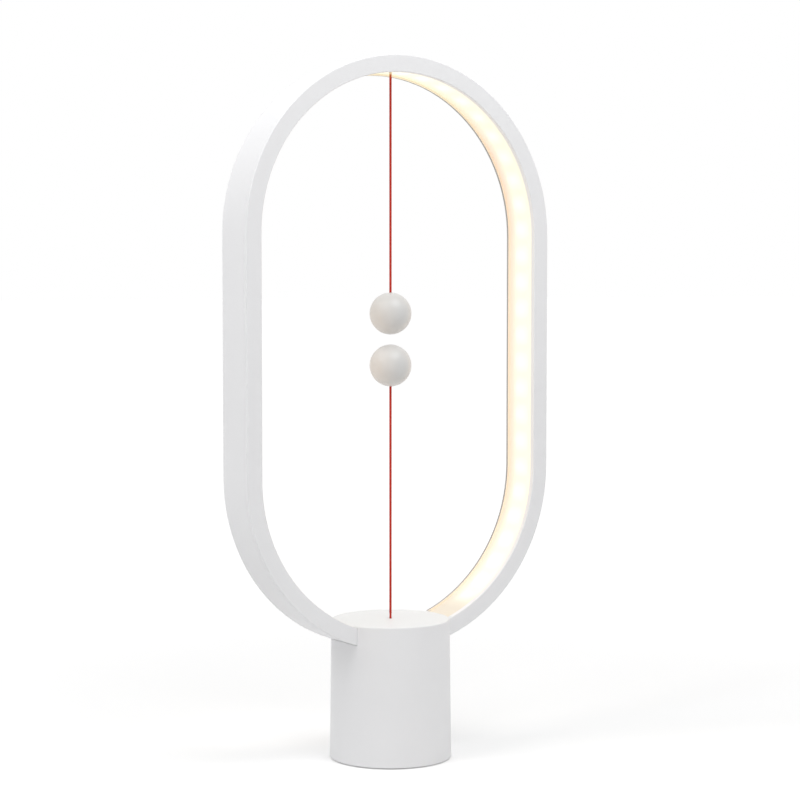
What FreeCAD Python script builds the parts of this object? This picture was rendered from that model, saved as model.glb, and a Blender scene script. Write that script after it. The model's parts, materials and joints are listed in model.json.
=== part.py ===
import FreeCAD, Part
import math
import os
import re
import Sketcher

# Magnetic balance lamp: a lit stadium hoop standing in a round base, with two magnetic balls on cords.
# Frame: origin under the middle of the base, +Z up, X across the hoop, Y through its depth, front at -Y.
# Lengths are millimetres.

doc = FreeCAD.newDocument("MagneticBalanceLamp")
sheet = doc.addObject("Spreadsheet::Sheet", "Sizes")

SIZES = [
    # whole lamp and base
    ("lamp_height", 400.0),
    ("base_height", 80.0),
    ("base_bottom_diameter", 70.0),
    ("base_top_diameter", 68.0),
    ("base_wall", 2.5),
    ("base_top_thickness", 3.0),
    ("base_edge_round", 0.8),
    # hoop
    ("hoop_width", 201.0),
    ("hoop_thickness", 9.6),
    ("hoop_depth", 28.0),
    ("hoop_sink", 16.0),
    ("hoop_outer_wall", 2.0),
    ("hoop_rear_wall", 1.8),
    ("hoop_cover_thickness", 3.0),
    ("hoop_end_gap", 45.0),
    ("hoop_fit", 0.15),
    ("hoop_edge_bevel", 0.35),
    ("parting_bevel", 0.2),
    # light strip and its lens
    ("lens_recess", 1.1),
    ("lens_thickness", 1.6),
    ("strip_width", 10.0),
    ("strip_thickness", 0.4),
    ("strip_end_gap", 64.0),
    ("chip_pitch", 15.7),
    ("chip_length", 3.5),
    ("chip_width", 2.8),
    ("chip_thickness", 1.4),
    ("chip_solder", 0.02),
    # blocks that close the two ends of the hoop
    ("end_block_length", 8.0),
    ("end_block_wire_gap", 6.4),
    # cords, knots and cord bushes
    ("cord_diameter", 1.2),
    ("bend_diameter", 1.6),
    ("bend_gap", 0.1),
    ("bend_lift", 0.3),
    ("cord_hole_diameter", 1.8),
    ("knot_diameter", 3.0),
    ("knot_length", 2.0),
    ("knot_round", 0.5),
    ("bush_flange_diameter", 5.0),
    ("bush_flange_thickness", 0.6),
    ("bush_spigot_diameter", 3.6),
    # balls and magnets
    ("ball_diameter", 24.0),
    ("upper_ball_height", 255.0),
    ("ball_gap", 5.6),
    ("magnet_diameter", 12.0),
    ("magnet_thickness", 5.0),
    ("magnet_cover", 2.4),
    ("knot_pocket_diameter", 5.0),
    ("knot_pocket_depth", 4.0),
    # general fits
    ("part_clearance", 0.1),
    ("running_clearance", 0.08),
    # bottom plate, foot and ballast
    ("foot_thickness", 0.8),
    ("foot_outer_diameter", 50.0),
    ("foot_inner_diameter", 24.0),
    ("plate_thickness", 2.5),
    ("plate_gap", 0.3),
    ("ballast_gap", 0.9),
    ("ballast_thickness", 9.0),
    ("ballast_screw_circle", 30.0),
    # screws: M3 in plastic bosses, M2 for the board and the switch
    ("screw_diameter", 2.6),
    ("screw_head_diameter", 4.8),
    ("screw_head_thickness", 1.5),
    ("screw_slot_width", 0.8),
    ("screw_slot_depth", 0.5),
    ("small_screw_diameter", 1.9),
    ("small_screw_head_diameter", 3.4),
    ("small_screw_head_thickness", 1.2),
    ("small_screw_slot_width", 0.6),
    ("small_screw_slot_depth", 0.4),
    ("base_screw_inset", 4.0),
    ("base_screw_length", 8.0),
    ("base_boss_root", 0.2),
    ("base_boss_end", 3.0),
    # control board
    ("board_lift", 3.2),
    ("board_thickness", 1.6),
    ("board_gap", 1.5),
    ("board_post_inset", 3.5),
    ("board_post_angle", 20.0),
    ("board_post_diameter", 5.2),
    ("board_screw_length", 6.0),
    ("connector_length", 4.0),
    ("connector_width", 6.0),
    ("connector_height", 5.0),
    ("driver_size", 5.0),
    ("driver_thickness", 1.2),
    ("choke_size", 7.0),
    ("choke_height", 4.0),
    ("resistor_length", 3.2),
    ("resistor_width", 1.6),
    ("resistor_thickness", 0.8),
    ("capacitor_diameter", 6.3),
    ("capacitor_height", 8.0),
    ("component_pitch", 8.0),
    # power socket in the back of the base
    ("socket_width", 8.9),
    ("socket_height", 3.2),
    ("socket_depth", 7.3),
    ("socket_shell", 0.3),
    ("tongue_width", 6.7),
    ("tongue_thickness", 0.7),
    ("tongue_length", 4.4),
    ("socket_window_gap", 0.35),
    ("socket_setback", 0.4),
    # cradle under the hoop's ends
    ("cradle_height", 17.0),
    ("cradle_shelf", 3.0),
    ("cradle_screw_inset", 5.2),
    ("cradle_screw_angle", 62.0),
    ("cradle_screw_length", 9.0),
    ("cradle_web", 3.0),
    ("cradle_boss_diameter", 6.0),
    ("cradle_boss_length", 10.0),
    ("hoop_screw_length", 9.8),
    ("hoop_screw_web", 4.5),
    # pull switch
    ("switch_travel", 2.5),
    ("plunger_diameter", 3.2),
    ("plunger_rise", 6.0),
    ("plunger_flange_diameter", 16.0),
    ("plunger_flange_thickness", 2.0),
    ("bracket_gap", 2.5),
    ("bracket_width", 9.8),
    ("bracket_thickness", 2.0),
    ("bracket_screw_inset", 4.0),
    ("bracket_post_diameter", 6.4),
    ("bracket_post_length", 9.0),
    ("bracket_screw_length", 7.0),
    ("micro_switch_length", 12.8),
    ("micro_switch_width", 5.8),
    ("micro_switch_height", 6.5),
    ("micro_switch_offset", 2.9),
    ("micro_switch_drop", 3.0),
    ("micro_screw_height", 3.9),
    ("micro_screw_spacing", 6.5),
    ("micro_screw_length", 7.0),
    ("button_offset", 5.6),
    ("button_length", 1.2),
    ("button_width", 2.8),
    ("button_reach", 1.2),
    ("button_stem", 1.6),
    ("spring_diameter", 4.7),
    ("spring_wire", 0.4),
    ("spring_turns", 5.0),
    # wires inside the base
    ("wire_diameter", 1.1),
    ("wire_bend_radius", 3.0),
    ("led_wire_drop", 14.5),
    ("led_wire_spacing", 2.5),
    ("switch_wire_drop", 22.0),
    ("pin_height", 2.2),
    ("pin_length", 2.6),
    ("pin_spacing", 2.4),
]

for row, (alias, number) in enumerate(SIZES, start=1):
    cell = "A%d" % row
    sheet.set(cell, str(number))
    sheet.setAlias(cell, alias)
doc.recompute()

# Heights and radii that follow from the driving sizes, as expressions of them.
HOOP_OUTER = "(hoop_width / 2)"
HOOP_INNER = "(hoop_width / 2 - hoop_thickness)"
HOOP_WALL_INNER = "(hoop_width / 2 - hoop_outer_wall)"
HOOP_BOTTOM_CENTRE = "(base_height - hoop_sink + hoop_width / 2)"
HOOP_TOP_CENTRE = "(lamp_height - hoop_width / 2)"
CHANNEL_FRONT = "(hoop_depth / 2 - hoop_cover_thickness)"
CHANNEL_REAR = "(hoop_depth / 2 - hoop_rear_wall)"
CHANNEL_WIDTH = "(hoop_depth - hoop_cover_thickness - hoop_rear_wall)"
LENS_INNER = "(hoop_width / 2 - hoop_thickness + lens_recess)"
LENS_OUTER = "(hoop_width / 2 - hoop_thickness + lens_recess + lens_thickness)"
STRIP_OUTER = "(hoop_width / 2 - hoop_outer_wall - part_clearance)"
STRIP_INNER = "(hoop_width / 2 - hoop_outer_wall - part_clearance - strip_thickness)"
LENS_BOTTOM_AT_TOP = "(lamp_height - hoop_thickness + lens_recess)"
LENS_TOP_AT_TOP = "(%s + lens_thickness)" % LENS_BOTTOM_AT_TOP
TOP_BEND_CENTRE = "(%s - bend_gap - bend_diameter / 2)" % LENS_BOTTOM_AT_TOP
LOWER_BEND_CENTRE = "(base_height + switch_travel + bend_lift + bend_diameter / 2)"
LOWER_BALL_HEIGHT = "(upper_ball_height - ball_diameter - ball_gap)"
MAGNET_FACE = "(ball_diameter / 2 - magnet_cover)"
MAGNET_BACK = "(ball_diameter / 2 - magnet_cover - magnet_thickness)"
POCKET_CEILING = "(knot_pocket_depth - %s)" % MAGNET_BACK
PLATE_TOP = "(foot_thickness + plate_thickness)"
BALLAST_TOP = "(foot_thickness + plate_thickness + ballast_thickness)"
BASE_CAVITY_TOP = "(base_height - base_top_thickness)"
BASE_INNER_BOTTOM = "(base_bottom_diameter / 2 - base_wall)"
BASE_INNER_TOP = "(base_top_diameter / 2 - base_wall)"
BASE_SCREW_CIRCLE = "(2 * (%s - base_screw_inset))" % BASE_INNER_BOTTOM
BASE_BOSS_DIAMETER = "(2 * (base_screw_inset + base_boss_root))"
BOARD_BOTTOM = "(%s + screw_head_thickness + board_lift)" % BALLAST_TOP
BOARD_TOP = "(%s + board_thickness)" % BOARD_BOTTOM
BOARD_RADIUS = "(min(%s; %s) - board_gap)" % (BASE_INNER_BOTTOM, BASE_INNER_TOP)
POST_CIRCLE = "(2 * (%s - board_post_inset))" % BOARD_RADIUS
BALLAST_RADIUS = "(%s - board_post_inset - board_post_diameter / 2 - ballast_gap)" % BOARD_RADIUS
SOCKET_CENTRE = "(%s + socket_height / 2)" % BOARD_TOP
SOCKET_MOUTH = "(%s - socket_setback)" % BASE_INNER_TOP
CRADLE_BOTTOM = "(%s - cradle_height)" % BASE_CAVITY_TOP
CRADLE_BORE = "(hoop_end_gap - 2 * cradle_shelf)"
CRADLE_OUTER = "(%s - plate_gap)" % BASE_INNER_TOP
CRADLE_SCREW_CIRCLE = "(2 * (%s - cradle_screw_inset))" % CRADLE_OUTER
CRADLE_SCREW_SEAT = "(%s - cradle_boss_length - cradle_web)" % BASE_CAVITY_TOP
HOOP_SCREW_X = "((hoop_end_gap + end_block_length) / 2)"
BASE_SCREW_SEAT = "(foot_thickness + screw_head_thickness)"
BRACKET_TOP = "(%s - bracket_post_length)" % BASE_CAVITY_TOP
BRACKET_BOTTOM = "(%s - bracket_post_length - bracket_thickness)" % BASE_CAVITY_TOP
BRACKET_LENGTH = "(%s - 2 * bracket_gap)" % CRADLE_BORE
BRACKET_SCREW_X = "(%s / 2 - bracket_screw_inset)" % BRACKET_LENGTH
SWITCH_BOTTOM = "(%s - micro_switch_drop - micro_switch_height)" % BRACKET_BOTTOM
FLANGE_TOP = "(%s - button_reach)" % SWITCH_BOTTOM
FLANGE_BOTTOM = "(%s - plunger_flange_thickness)" % FLANGE_TOP
PLUNGER_TOP = "(%s + plunger_rise)" % BRACKET_TOP
CONNECTOR_TOP = "(%s + connector_height)" % BOARD_TOP
LED_WIRE_MIDDLE = "(%s - end_block_wire_gap / 2)" % CHANNEL_REAR
SWITCH_MIDDLE = "(micro_switch_offset + micro_switch_length / 2)"
SWITCH_END = "(micro_switch_offset + micro_switch_length)"
MICRO_SCREW_LEVEL = "(%s + micro_screw_height)" % SWITCH_BOTTOM
PIN_LEVEL = "(%s + pin_height)" % SWITCH_BOTTOM
CUT_MARGIN = 1.0  # how far a cut runs past what it cuts
MATCH = 0.01  # places nearer than this are the same place
TINY = 1e-6
VOLUME_TOLERANCE = 0.01
FULL_TURN = 360.0
HALF_TURN = 180.0

LAY_ALONG_Y = FreeCAD.Rotation(FreeCAD.Vector(1, 0, 0), -HALF_TURN / 2)
UPSIDE_DOWN = FreeCAD.Rotation(FreeCAD.Vector(1, 0, 0), HALF_TURN)

NODES = []


def bound(expression):
    """The expression with each size's alias written as a reference to the sheet."""
    return re.sub(r"\b[a-z]+(?:_[a-z0-9]+)+\b", r"Sizes.\g<0>", str(expression))


def value(expression):
    """The number that an expression of the sizes gives now."""
    return float(sheet.evalExpression(bound(expression)))


def node(thing, label):
    """Registers an object as a sub-part, under the name of its file."""
    thing.Label = label
    NODES.append(thing)
    return thing


def body(name):
    return doc.addObject("PartDesign::Body", name)


def place(thing, x="0", y="0", z="0", rotation=None):
    """Puts a thing where three expressions say, after turning it."""
    if rotation:
        thing.Placement = FreeCAD.Placement(FreeCAD.Vector(), rotation)
    for axis, expression in zip("xyz", (x, y, z)):
        thing.setExpression("Placement.Base." + axis, bound(expression))
    return thing


def solid(owner, kind, sizes, x="0", y="0", z="0", rotation=None):
    """Adds one PartDesign primitive, such as AdditiveCylinder, to a body."""
    feature = owner.newObject("PartDesign::" + kind, owner.Name + "_" + kind)
    for name, expression in sizes.items():
        feature.setExpression(name, bound(expression))
    place(feature, x, y, z, rotation)
    doc.recompute()
    return feature


def cylinder(owner, diameter, height, x="0", y="0", z="0", rotation=None, cut=False):
    kind = "SubtractiveCylinder" if cut else "AdditiveCylinder"
    sizes = {"Radius": "(%s) / 2" % diameter, "Height": height}
    return solid(owner, kind, sizes, x, y, z, rotation)


def box(owner, length, width, height, x, y, z, cut=False):
    """A box centred on x and y, standing on z."""
    kind = "SubtractiveBox" if cut else "AdditiveBox"
    sizes = {"Length": length, "Width": width, "Height": height}
    low_x = "(%s) - (%s) / 2" % (x, length)
    low_y = "(%s) - (%s) / 2" % (y, width)
    return solid(owner, kind, sizes, low_x, low_y, z)


def new_sketch(owner, role, offset="0"):
    """A sketch on one of the body's own origin planes, moved along the plane's normal."""
    sketch = owner.newObject("Sketcher::SketchObject", owner.Name + "_sketch")
    plane = [feature for feature in owner.Origin.OriginFeatures if feature.Role == role][0]
    sketch.AttachmentSupport = [(plane, "")]
    sketch.MapMode = "FlatFace"
    sketch.setExpression("AttachmentOffset.Base.z", bound(offset))
    return sketch


def fix(sketch, name, kind, geometry, expression):
    """Adds a named constraint and binds it to an expression."""
    index = sketch.addConstraint(Sketcher.Constraint(kind, *geometry, value(expression)))
    sketch.renameConstraint(index, name)
    sketch.setExpression("Constraints." + name, bound(expression))


def on_axis(expression):
    """Whether a coordinate is zero, so that it is held on the sketch's axis."""
    return abs(value(expression)) < TINY


def polygon(sketch, corners):
    """Closed outline with straight sides; each corner is a pair of expressions."""
    points = [FreeCAD.Vector(value(x), value(y), 0) for x, y in corners]
    count = len(points)
    first = sketch.GeometryCount
    for index, point in enumerate(points):
        sketch.addGeometry(Part.LineSegment(point, points[(index + 1) % count]))
    for index, (x, y) in enumerate(corners):
        side = first + index
        following = first + (index + 1) % count
        sketch.addConstraint(Sketcher.Constraint("Coincident", side, 2, following, 1))
        if on_axis(x):
            sketch.addConstraint(Sketcher.Constraint("PointOnObject", side, 1, -2))
        else:
            fix(sketch, "x%d" % side, "DistanceX", (-1, 1, side, 1), x)
        if on_axis(y):
            sketch.addConstraint(Sketcher.Constraint("PointOnObject", side, 1, -1))
        else:
            fix(sketch, "y%d" % side, "DistanceY", (-1, 1, side, 1), y)


def stadium(sketch, radius):
    """Two half circles and the two straights between them, about the hoop's own centres."""
    first = sketch.GeometryCount
    reach = value(radius)
    low = value(HOOP_BOTTOM_CENTRE)
    high = value(HOOP_TOP_CENTRE)
    normal = FreeCAD.Vector(0, 0, 1)
    top = Part.Circle(FreeCAD.Vector(0, high, 0), normal, reach)
    bottom = Part.Circle(FreeCAD.Vector(0, low, 0), normal, reach)
    sketch.addGeometry(Part.ArcOfCircle(top, 0, math.pi))
    sketch.addGeometry(Part.LineSegment(FreeCAD.Vector(-reach, high, 0), FreeCAD.Vector(-reach, low, 0)))
    sketch.addGeometry(Part.ArcOfCircle(bottom, math.pi, 2 * math.pi))
    sketch.addGeometry(Part.LineSegment(FreeCAD.Vector(reach, low, 0), FreeCAD.Vector(reach, high, 0)))
    upper, left, lower, right = range(first, first + 4)
    for one, one_end, other, other_end in (
        (upper, 2, left, 1),
        (left, 2, lower, 1),
        (lower, 2, right, 1),
        (right, 2, upper, 1),
    ):
        sketch.addConstraint(Sketcher.Constraint("Tangent", one, one_end, other, other_end))
    for arc, centre in ((upper, HOOP_TOP_CENTRE), (lower, HOOP_BOTTOM_CENTRE)):
        sketch.addConstraint(Sketcher.Constraint("PointOnObject", arc, 3, -2))
        fix(sketch, "centre%d" % arc, "DistanceY", (-1, 1, arc, 3), centre)
    fix(sketch, "radius%d" % upper, "Radius", (upper,), radius)


def circle(sketch, diameter, x="0", y="0"):
    index = sketch.GeometryCount
    centre = FreeCAD.Vector(value(x), value(y), 0)
    sketch.addGeometry(Part.Circle(centre, FreeCAD.Vector(0, 0, 1), value(diameter) / 2))
    if on_axis(x):
        sketch.addConstraint(Sketcher.Constraint("PointOnObject", index, 3, -2))
    else:
        fix(sketch, "x%d" % index, "DistanceX", (-1, 1, index, 3), x)
    if on_axis(y):
        sketch.addConstraint(Sketcher.Constraint("PointOnObject", index, 3, -1))
    else:
        fix(sketch, "y%d" % index, "DistanceY", (-1, 1, index, 3), y)
    fix(sketch, "radius%d" % index, "Radius", (index,), "(%s) / 2" % diameter)


def pad(owner, sketch, length):
    feature = owner.newObject("PartDesign::Pad", owner.Name + "_pad")
    feature.Profile = sketch
    feature.setExpression("Length", bound(length))
    doc.recompute()
    return feature


def pocket(owner, sketch, length, midplane=False, reverse=False):
    """Cuts the sketch out of the body and makes sure that something was cut."""
    before = owner.Shape.Volume
    feature = owner.newObject("PartDesign::Pocket", owner.Name + "_pocket")
    feature.Profile = sketch
    feature.setExpression("Length", bound(length))
    feature.Midplane = midplane
    feature.Reversed = reverse
    doc.recompute()
    if not owner.Shape.Volume < before:
        raise RuntimeError("%s cuts nothing" % feature.Name)
    return feature


def revolution(owner, corners):
    """Turns an outline of (radius, height) corners about the Z axis."""
    sketch = new_sketch(owner, "XZ_Plane")
    polygon(sketch, corners)
    feature = owner.newObject("PartDesign::Revolution", owner.Name + "_revolution")
    feature.Profile = sketch
    feature.ReferenceAxis = (sketch, ["V_Axis"])
    feature.Angle = FULL_TURN
    doc.recompute()
    return feature


def round_edges(owner, wanted, radius):
    """Fillets the edges of a body's tip that wanted(edge) picks."""
    base = owner.Tip
    names = ["Edge%d" % (n + 1) for n, edge in enumerate(base.Shape.Edges) if wanted(edge)]
    feature = owner.newObject("PartDesign::Fillet", owner.Name + "_fillet")
    feature.Base = (base, names)
    feature.setExpression("Radius", bound(radius))
    doc.recompute()
    return feature


def bevel_edges(owner, wanted, size):
    """Chamfers the edges of a body's tip that wanted(edge) picks."""
    base = owner.Tip
    names = ["Edge%d" % (n + 1) for n, edge in enumerate(base.Shape.Edges) if wanted(edge)]
    feature = owner.newObject("PartDesign::Chamfer", owner.Name + "_chamfer")
    feature.Base = (base, names)
    feature.setExpression("Size", bound(size))
    doc.recompute()
    return feature


def hoop_edge(depth, *radii):
    """Picks the edges of a hoop ring in the plane y = depth, at any of the given radii."""
    level = value(depth)
    reaches = [value(radius) for radius in radii]

    def wanted(edge):
        bounds = edge.BoundBox
        if abs(bounds.YMin - level) > MATCH or bounds.YLength > MATCH:
            return False
        if edge.Curve.TypeId == "Part::GeomCircle":
            reach = edge.Curve.Radius
        else:
            reach = abs(edge.Vertexes[0].X)
        return any(abs(reach - one) < MATCH for one in reaches)

    return wanted


def hoop_ring(owner, outer, inner, front, depth):
    """A stadium ring between two radii, from the plane y = -front towards the back."""
    sketch = new_sketch(owner, "XZ_Plane", "(%s) - (%s)" % (front, depth))
    stadium(sketch, outer)
    stadium(sketch, inner)
    return pad(owner, sketch, depth)


def open_bottom(owner, gap):
    """Takes the stretch between the hoop's two ends out of a ring."""
    height = "hoop_thickness + %s" % HOOP_OUTER
    low = "base_height - hoop_sink - %s" % CUT_MARGIN
    box(owner, gap, "hoop_depth + 2 * %s" % CUT_MARGIN, height, "0", "0", low, cut=True)


def arc_height(radius, x):
    """Height of the hoop's lower arc of that radius, at the distance x from the middle."""
    return "(%s - sqrt((%s) ^ 2 - (%s) ^ 2))" % (HOOP_BOTTOM_CENTRE, radius, x)


def side_signs():
    """Left then right."""
    return (-1, 1)


def circle_places(diameter, angles):
    """Expressions of points on a circle of screws, at the given angles."""
    places = []
    for angle in angles:
        places.append(("(%s) / 2 * cos(%s)" % (diameter, angle), "(%s) / 2 * sin(%s)" % (diameter, angle)))
    return places


BASE_SCREW_PLACES = circle_places(BASE_SCREW_CIRCLE, (45, 135, 225, 315))
POST_PLACES = circle_places(POST_CIRCLE, ("board_post_angle", "180 - board_post_angle", 270))
BALLAST_SCREW_PLACES = circle_places("ballast_screw_circle", (90, 270))
CRADLE_SCREW_ANGLES = (
    "cradle_screw_angle",
    "180 - cradle_screw_angle",
    "180 + cradle_screw_angle",
    "360 - cradle_screw_angle",
)
CRADLE_SCREW_PLACES = circle_places(CRADLE_SCREW_CIRCLE, CRADLE_SCREW_ANGLES)
HOOP_SCREW_PLACES = [("%d * %s" % (side, HOOP_SCREW_X), "0") for side in side_signs()]
HOOP_SCREW_SEAT = "(%s - hoop_screw_web)" % arc_height(HOOP_OUTER, HOOP_SCREW_X)
BRACKET_SCREW_PLACES = [("%d * %s" % (side, BRACKET_SCREW_X), "0") for side in side_signs()]


def at_level(places, z):
    """The (x, y) places as (x, y, z) seats at one height."""
    return [(x, y, z) for x, y in places]


def make_screw(label, size, length, x, y, z, turn):
    """A slotted screw with its head's seat at x, y, z, pointing up unless it is turned."""
    thickness = size + "_head_thickness"
    shank = doc.addObject("Part::Cylinder", label + "_shank")
    shank.setExpression("Radius", bound(size + "_diameter / 2"))
    shank.setExpression("Height", bound("(%s) + %s / 2" % (length, thickness)))
    place(shank, "0", "0", "-%s / 2" % thickness)
    head = doc.addObject("Part::Cylinder", label + "_head")
    head.setExpression("Radius", bound(size + "_head_diameter / 2"))
    head.setExpression("Height", bound(thickness))
    place(head, "0", "0", "-" + thickness)
    slot = doc.addObject("Part::Box", label + "_slot")
    slot.setExpression("Length", bound(size + "_head_diameter"))
    slot.setExpression("Width", bound(size + "_slot_width"))
    slot.setExpression("Height", bound(size + "_slot_depth"))
    place(slot, "-%s_head_diameter / 2" % size, "-%s_slot_width / 2" % size, "-" + thickness)
    whole = doc.addObject("Part::Fuse", label + "_whole")
    whole.Base = shank
    whole.Tool = head
    screw = doc.addObject("Part::Cut", label + "_screw")
    screw.Base = whole
    screw.Tool = slot
    return place(screw, x, y, z, turn)


def screw_group(label, seats, length, size="screw", turn=None):
    """Like screws at their (x, y, z) seats, as one node of separate solids."""
    screws = [make_screw(label, size, length, x, y, z, turn) for x, y, z in seats]
    group = doc.addObject("Part::Compound", label)
    group.Links = screws
    return node(group, label)


def make_hoop():
    tray = body("hoop_tray_body")
    hoop_ring(tray, HOOP_OUTER, HOOP_WALL_INNER, CHANNEL_FRONT, "hoop_depth - hoop_cover_thickness")
    hoop_ring(tray, HOOP_OUTER, HOOP_INNER, "-" + CHANNEL_REAR, "hoop_rear_wall")
    bevel_edges(tray, hoop_edge("hoop_depth / 2", HOOP_OUTER, HOOP_INNER), "hoop_edge_bevel")
    bevel_edges(tray, hoop_edge("-" + CHANNEL_FRONT, HOOP_OUTER), "parting_bevel")
    open_bottom(tray, "hoop_end_gap")
    for x, y in HOOP_SCREW_PLACES:
        hole = "screw_diameter + 2 * part_clearance"
        low = "%s - %s" % (arc_height(HOOP_OUTER, x), CUT_MARGIN)
        cylinder(tray, hole, "hoop_thickness / 2", x, y, low, cut=True)
    node(tray, "hoop_tray")

    cover = body("hoop_front_cover_body")
    hoop_ring(cover, HOOP_OUTER, HOOP_INNER, "hoop_depth / 2", "hoop_cover_thickness")
    bevel_edges(cover, hoop_edge("-hoop_depth / 2", HOOP_OUTER, HOOP_INNER), "hoop_edge_bevel")
    bevel_edges(cover, hoop_edge("-" + CHANNEL_FRONT, HOOP_OUTER), "parting_bevel")
    open_bottom(cover, "hoop_end_gap")
    node(cover, "hoop_front_cover")

    lens = body("light_diffuser_body")
    lens_front = CHANNEL_FRONT + " - part_clearance"
    lens_width = CHANNEL_WIDTH + " - 2 * part_clearance"
    hoop_ring(lens, LENS_OUTER, LENS_INNER, lens_front, lens_width)
    open_bottom(lens, "hoop_end_gap")
    hole = "bush_spigot_diameter + 2 * part_clearance"
    cylinder(lens, hole, "hoop_thickness", "0", "0", LENS_BOTTOM_AT_TOP + " - hoop_thickness / 2", cut=True)
    node(lens, "light_diffuser")

    strip = body("led_strip_board_body")
    hoop_ring(strip, STRIP_OUTER, STRIP_INNER, "strip_width / 2", "strip_width")
    open_bottom(strip, "strip_end_gap")
    node(strip, "led_strip_board")

    for side, label in ((-1, "hoop_end_block_left"), (1, "hoop_end_block_right")):
        make_end_block(side, label)


def make_end_block(side, label):
    """Block that fills one end of the hoop's channel and takes the screw from below."""
    block = body(label + "_body")
    depth = CHANNEL_WIDTH + " - 2 * part_clearance - end_block_wire_gap"
    outer = HOOP_WALL_INNER + " - part_clearance"
    inner = LENS_OUTER + " + part_clearance"
    hoop_ring(block, outer, inner, CHANNEL_FRONT + " - part_clearance", depth)
    reach = "hoop_end_gap / 2 + end_block_length"
    height = "2 * hoop_width + lamp_height"
    over = "hoop_width + hoop_depth"
    low = "base_height - hoop_width"
    middle = "%d * ((%s) + (%s) / 2)" % (side, reach, over)
    box(block, over, over, height, middle, "0", low, cut=True)
    other = "%d * (hoop_end_gap / 2 - (%s) / 2)" % (side, over)
    box(block, over, over, height, other, "0", low, cut=True)
    top = HOOP_BOTTOM_CENTRE
    box(block, over, over, height, "0", "0", top, cut=True)
    x = "%d * %s" % (side, HOOP_SCREW_X)
    hole = "screw_diameter + 2 * part_clearance"
    cylinder(block, hole, "hoop_thickness", x, "0", arc_height(HOOP_OUTER, x), cut=True)
    node(block, label)


def strip_point(distance, radius):
    """Place and turn of a point on the strip, at a distance along it from the hoop's top."""
    side = -1 if distance < 0 else 1
    run = abs(distance)
    high = value(HOOP_TOP_CENTRE)
    low = value(HOOP_BOTTOM_CENTRE)
    quarter = radius * math.pi / 2
    if run <= quarter:
        angle = run / radius
        return side * radius * math.sin(angle), high + radius * math.cos(angle), side * angle
    if run <= quarter + high - low:
        return side * radius, high - (run - quarter), side * math.pi / 2
    angle = (run - quarter - (high - low)) / radius
    return side * radius * math.cos(angle), low - radius * math.sin(angle), side * (math.pi / 2 + angle)


def make_chips():
    """The light-emitting chips along the strip, spaced evenly either side of the top."""
    pitch = value("chip_pitch")
    length = value("chip_length")
    width = value("chip_width")
    thickness = value("chip_thickness")
    seat = math.sqrt(value(STRIP_INNER) ** 2 - (length / 2) ** 2) - value("chip_solder")
    half_gap = value("strip_end_gap") / 2
    chips = []
    for side in side_signs():
        distance = side * pitch / 2
        while True:
            x, z, turn = strip_point(distance, seat)
            if z < value(HOOP_BOTTOM_CENTRE) and abs(x) < half_gap + length:
                break
            corner = FreeCAD.Vector(-length / 2, -width / 2, -thickness)
            chip = Part.makeBox(length, width, thickness, corner)
            chip.rotate(FreeCAD.Vector(), FreeCAD.Vector(0, 1, 0), math.degrees(turn))
            chip.translate(FreeCAD.Vector(x, 0, z))
            chips.append(chip)
            distance += side * pitch
    feature = doc.addObject("Part::Feature", "led_chips")
    feature.Shape = Part.makeCompound(chips)
    feature.Placement = FreeCAD.Placement()
    node(feature, "led_chips")


def make_bush(label, seat, spigot_length, rotation=None):
    """Flanged bush for a cord, seated at a height: its flange below and its spigot above, unless turned."""
    bush = body(label + "_body")
    whole = "bush_flange_thickness + " + spigot_length
    cylinder(bush, "bush_spigot_diameter", whole, "0", "0", "-bush_flange_thickness")
    cylinder(bush, "bush_flange_diameter", "bush_flange_thickness", "0", "0", "-bush_flange_thickness")
    cylinder(bush, "cord_hole_diameter", whole, "0", "0", "-bush_flange_thickness", cut=True)
    place(bush, "0", "0", seat, rotation)
    return node(bush, label)


def make_knot(label, bottom):
    """A cord's pulled-down knot, as a rounded drum on the height of its lower end."""
    knot = body(label + "_body")
    cylinder(knot, "knot_diameter", "knot_length")
    round_edges(knot, lambda edge: edge.Curve.TypeId == "Part::GeomCircle", "knot_round")
    place(knot, "0", "0", bottom)
    return node(knot, label)


def make_cord(label, bottom, top):
    """A straight stretch of cord between two heights on the axis."""
    cord = body(label + "_body")
    cylinder(cord, "cord_diameter", "(%s) - (%s)" % (top, bottom))
    place(cord, "0", "0", bottom)
    return node(cord, label)


def make_bend(label, centre):
    """The short bend of a cord at its outlet, as a bead about the point that it turns on."""
    bend = body(label + "_body")
    solid(bend, "AdditiveSphere", {"Radius": "bend_diameter / 2"})
    place(bend, "0", "0", centre)
    return node(bend, label)


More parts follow.
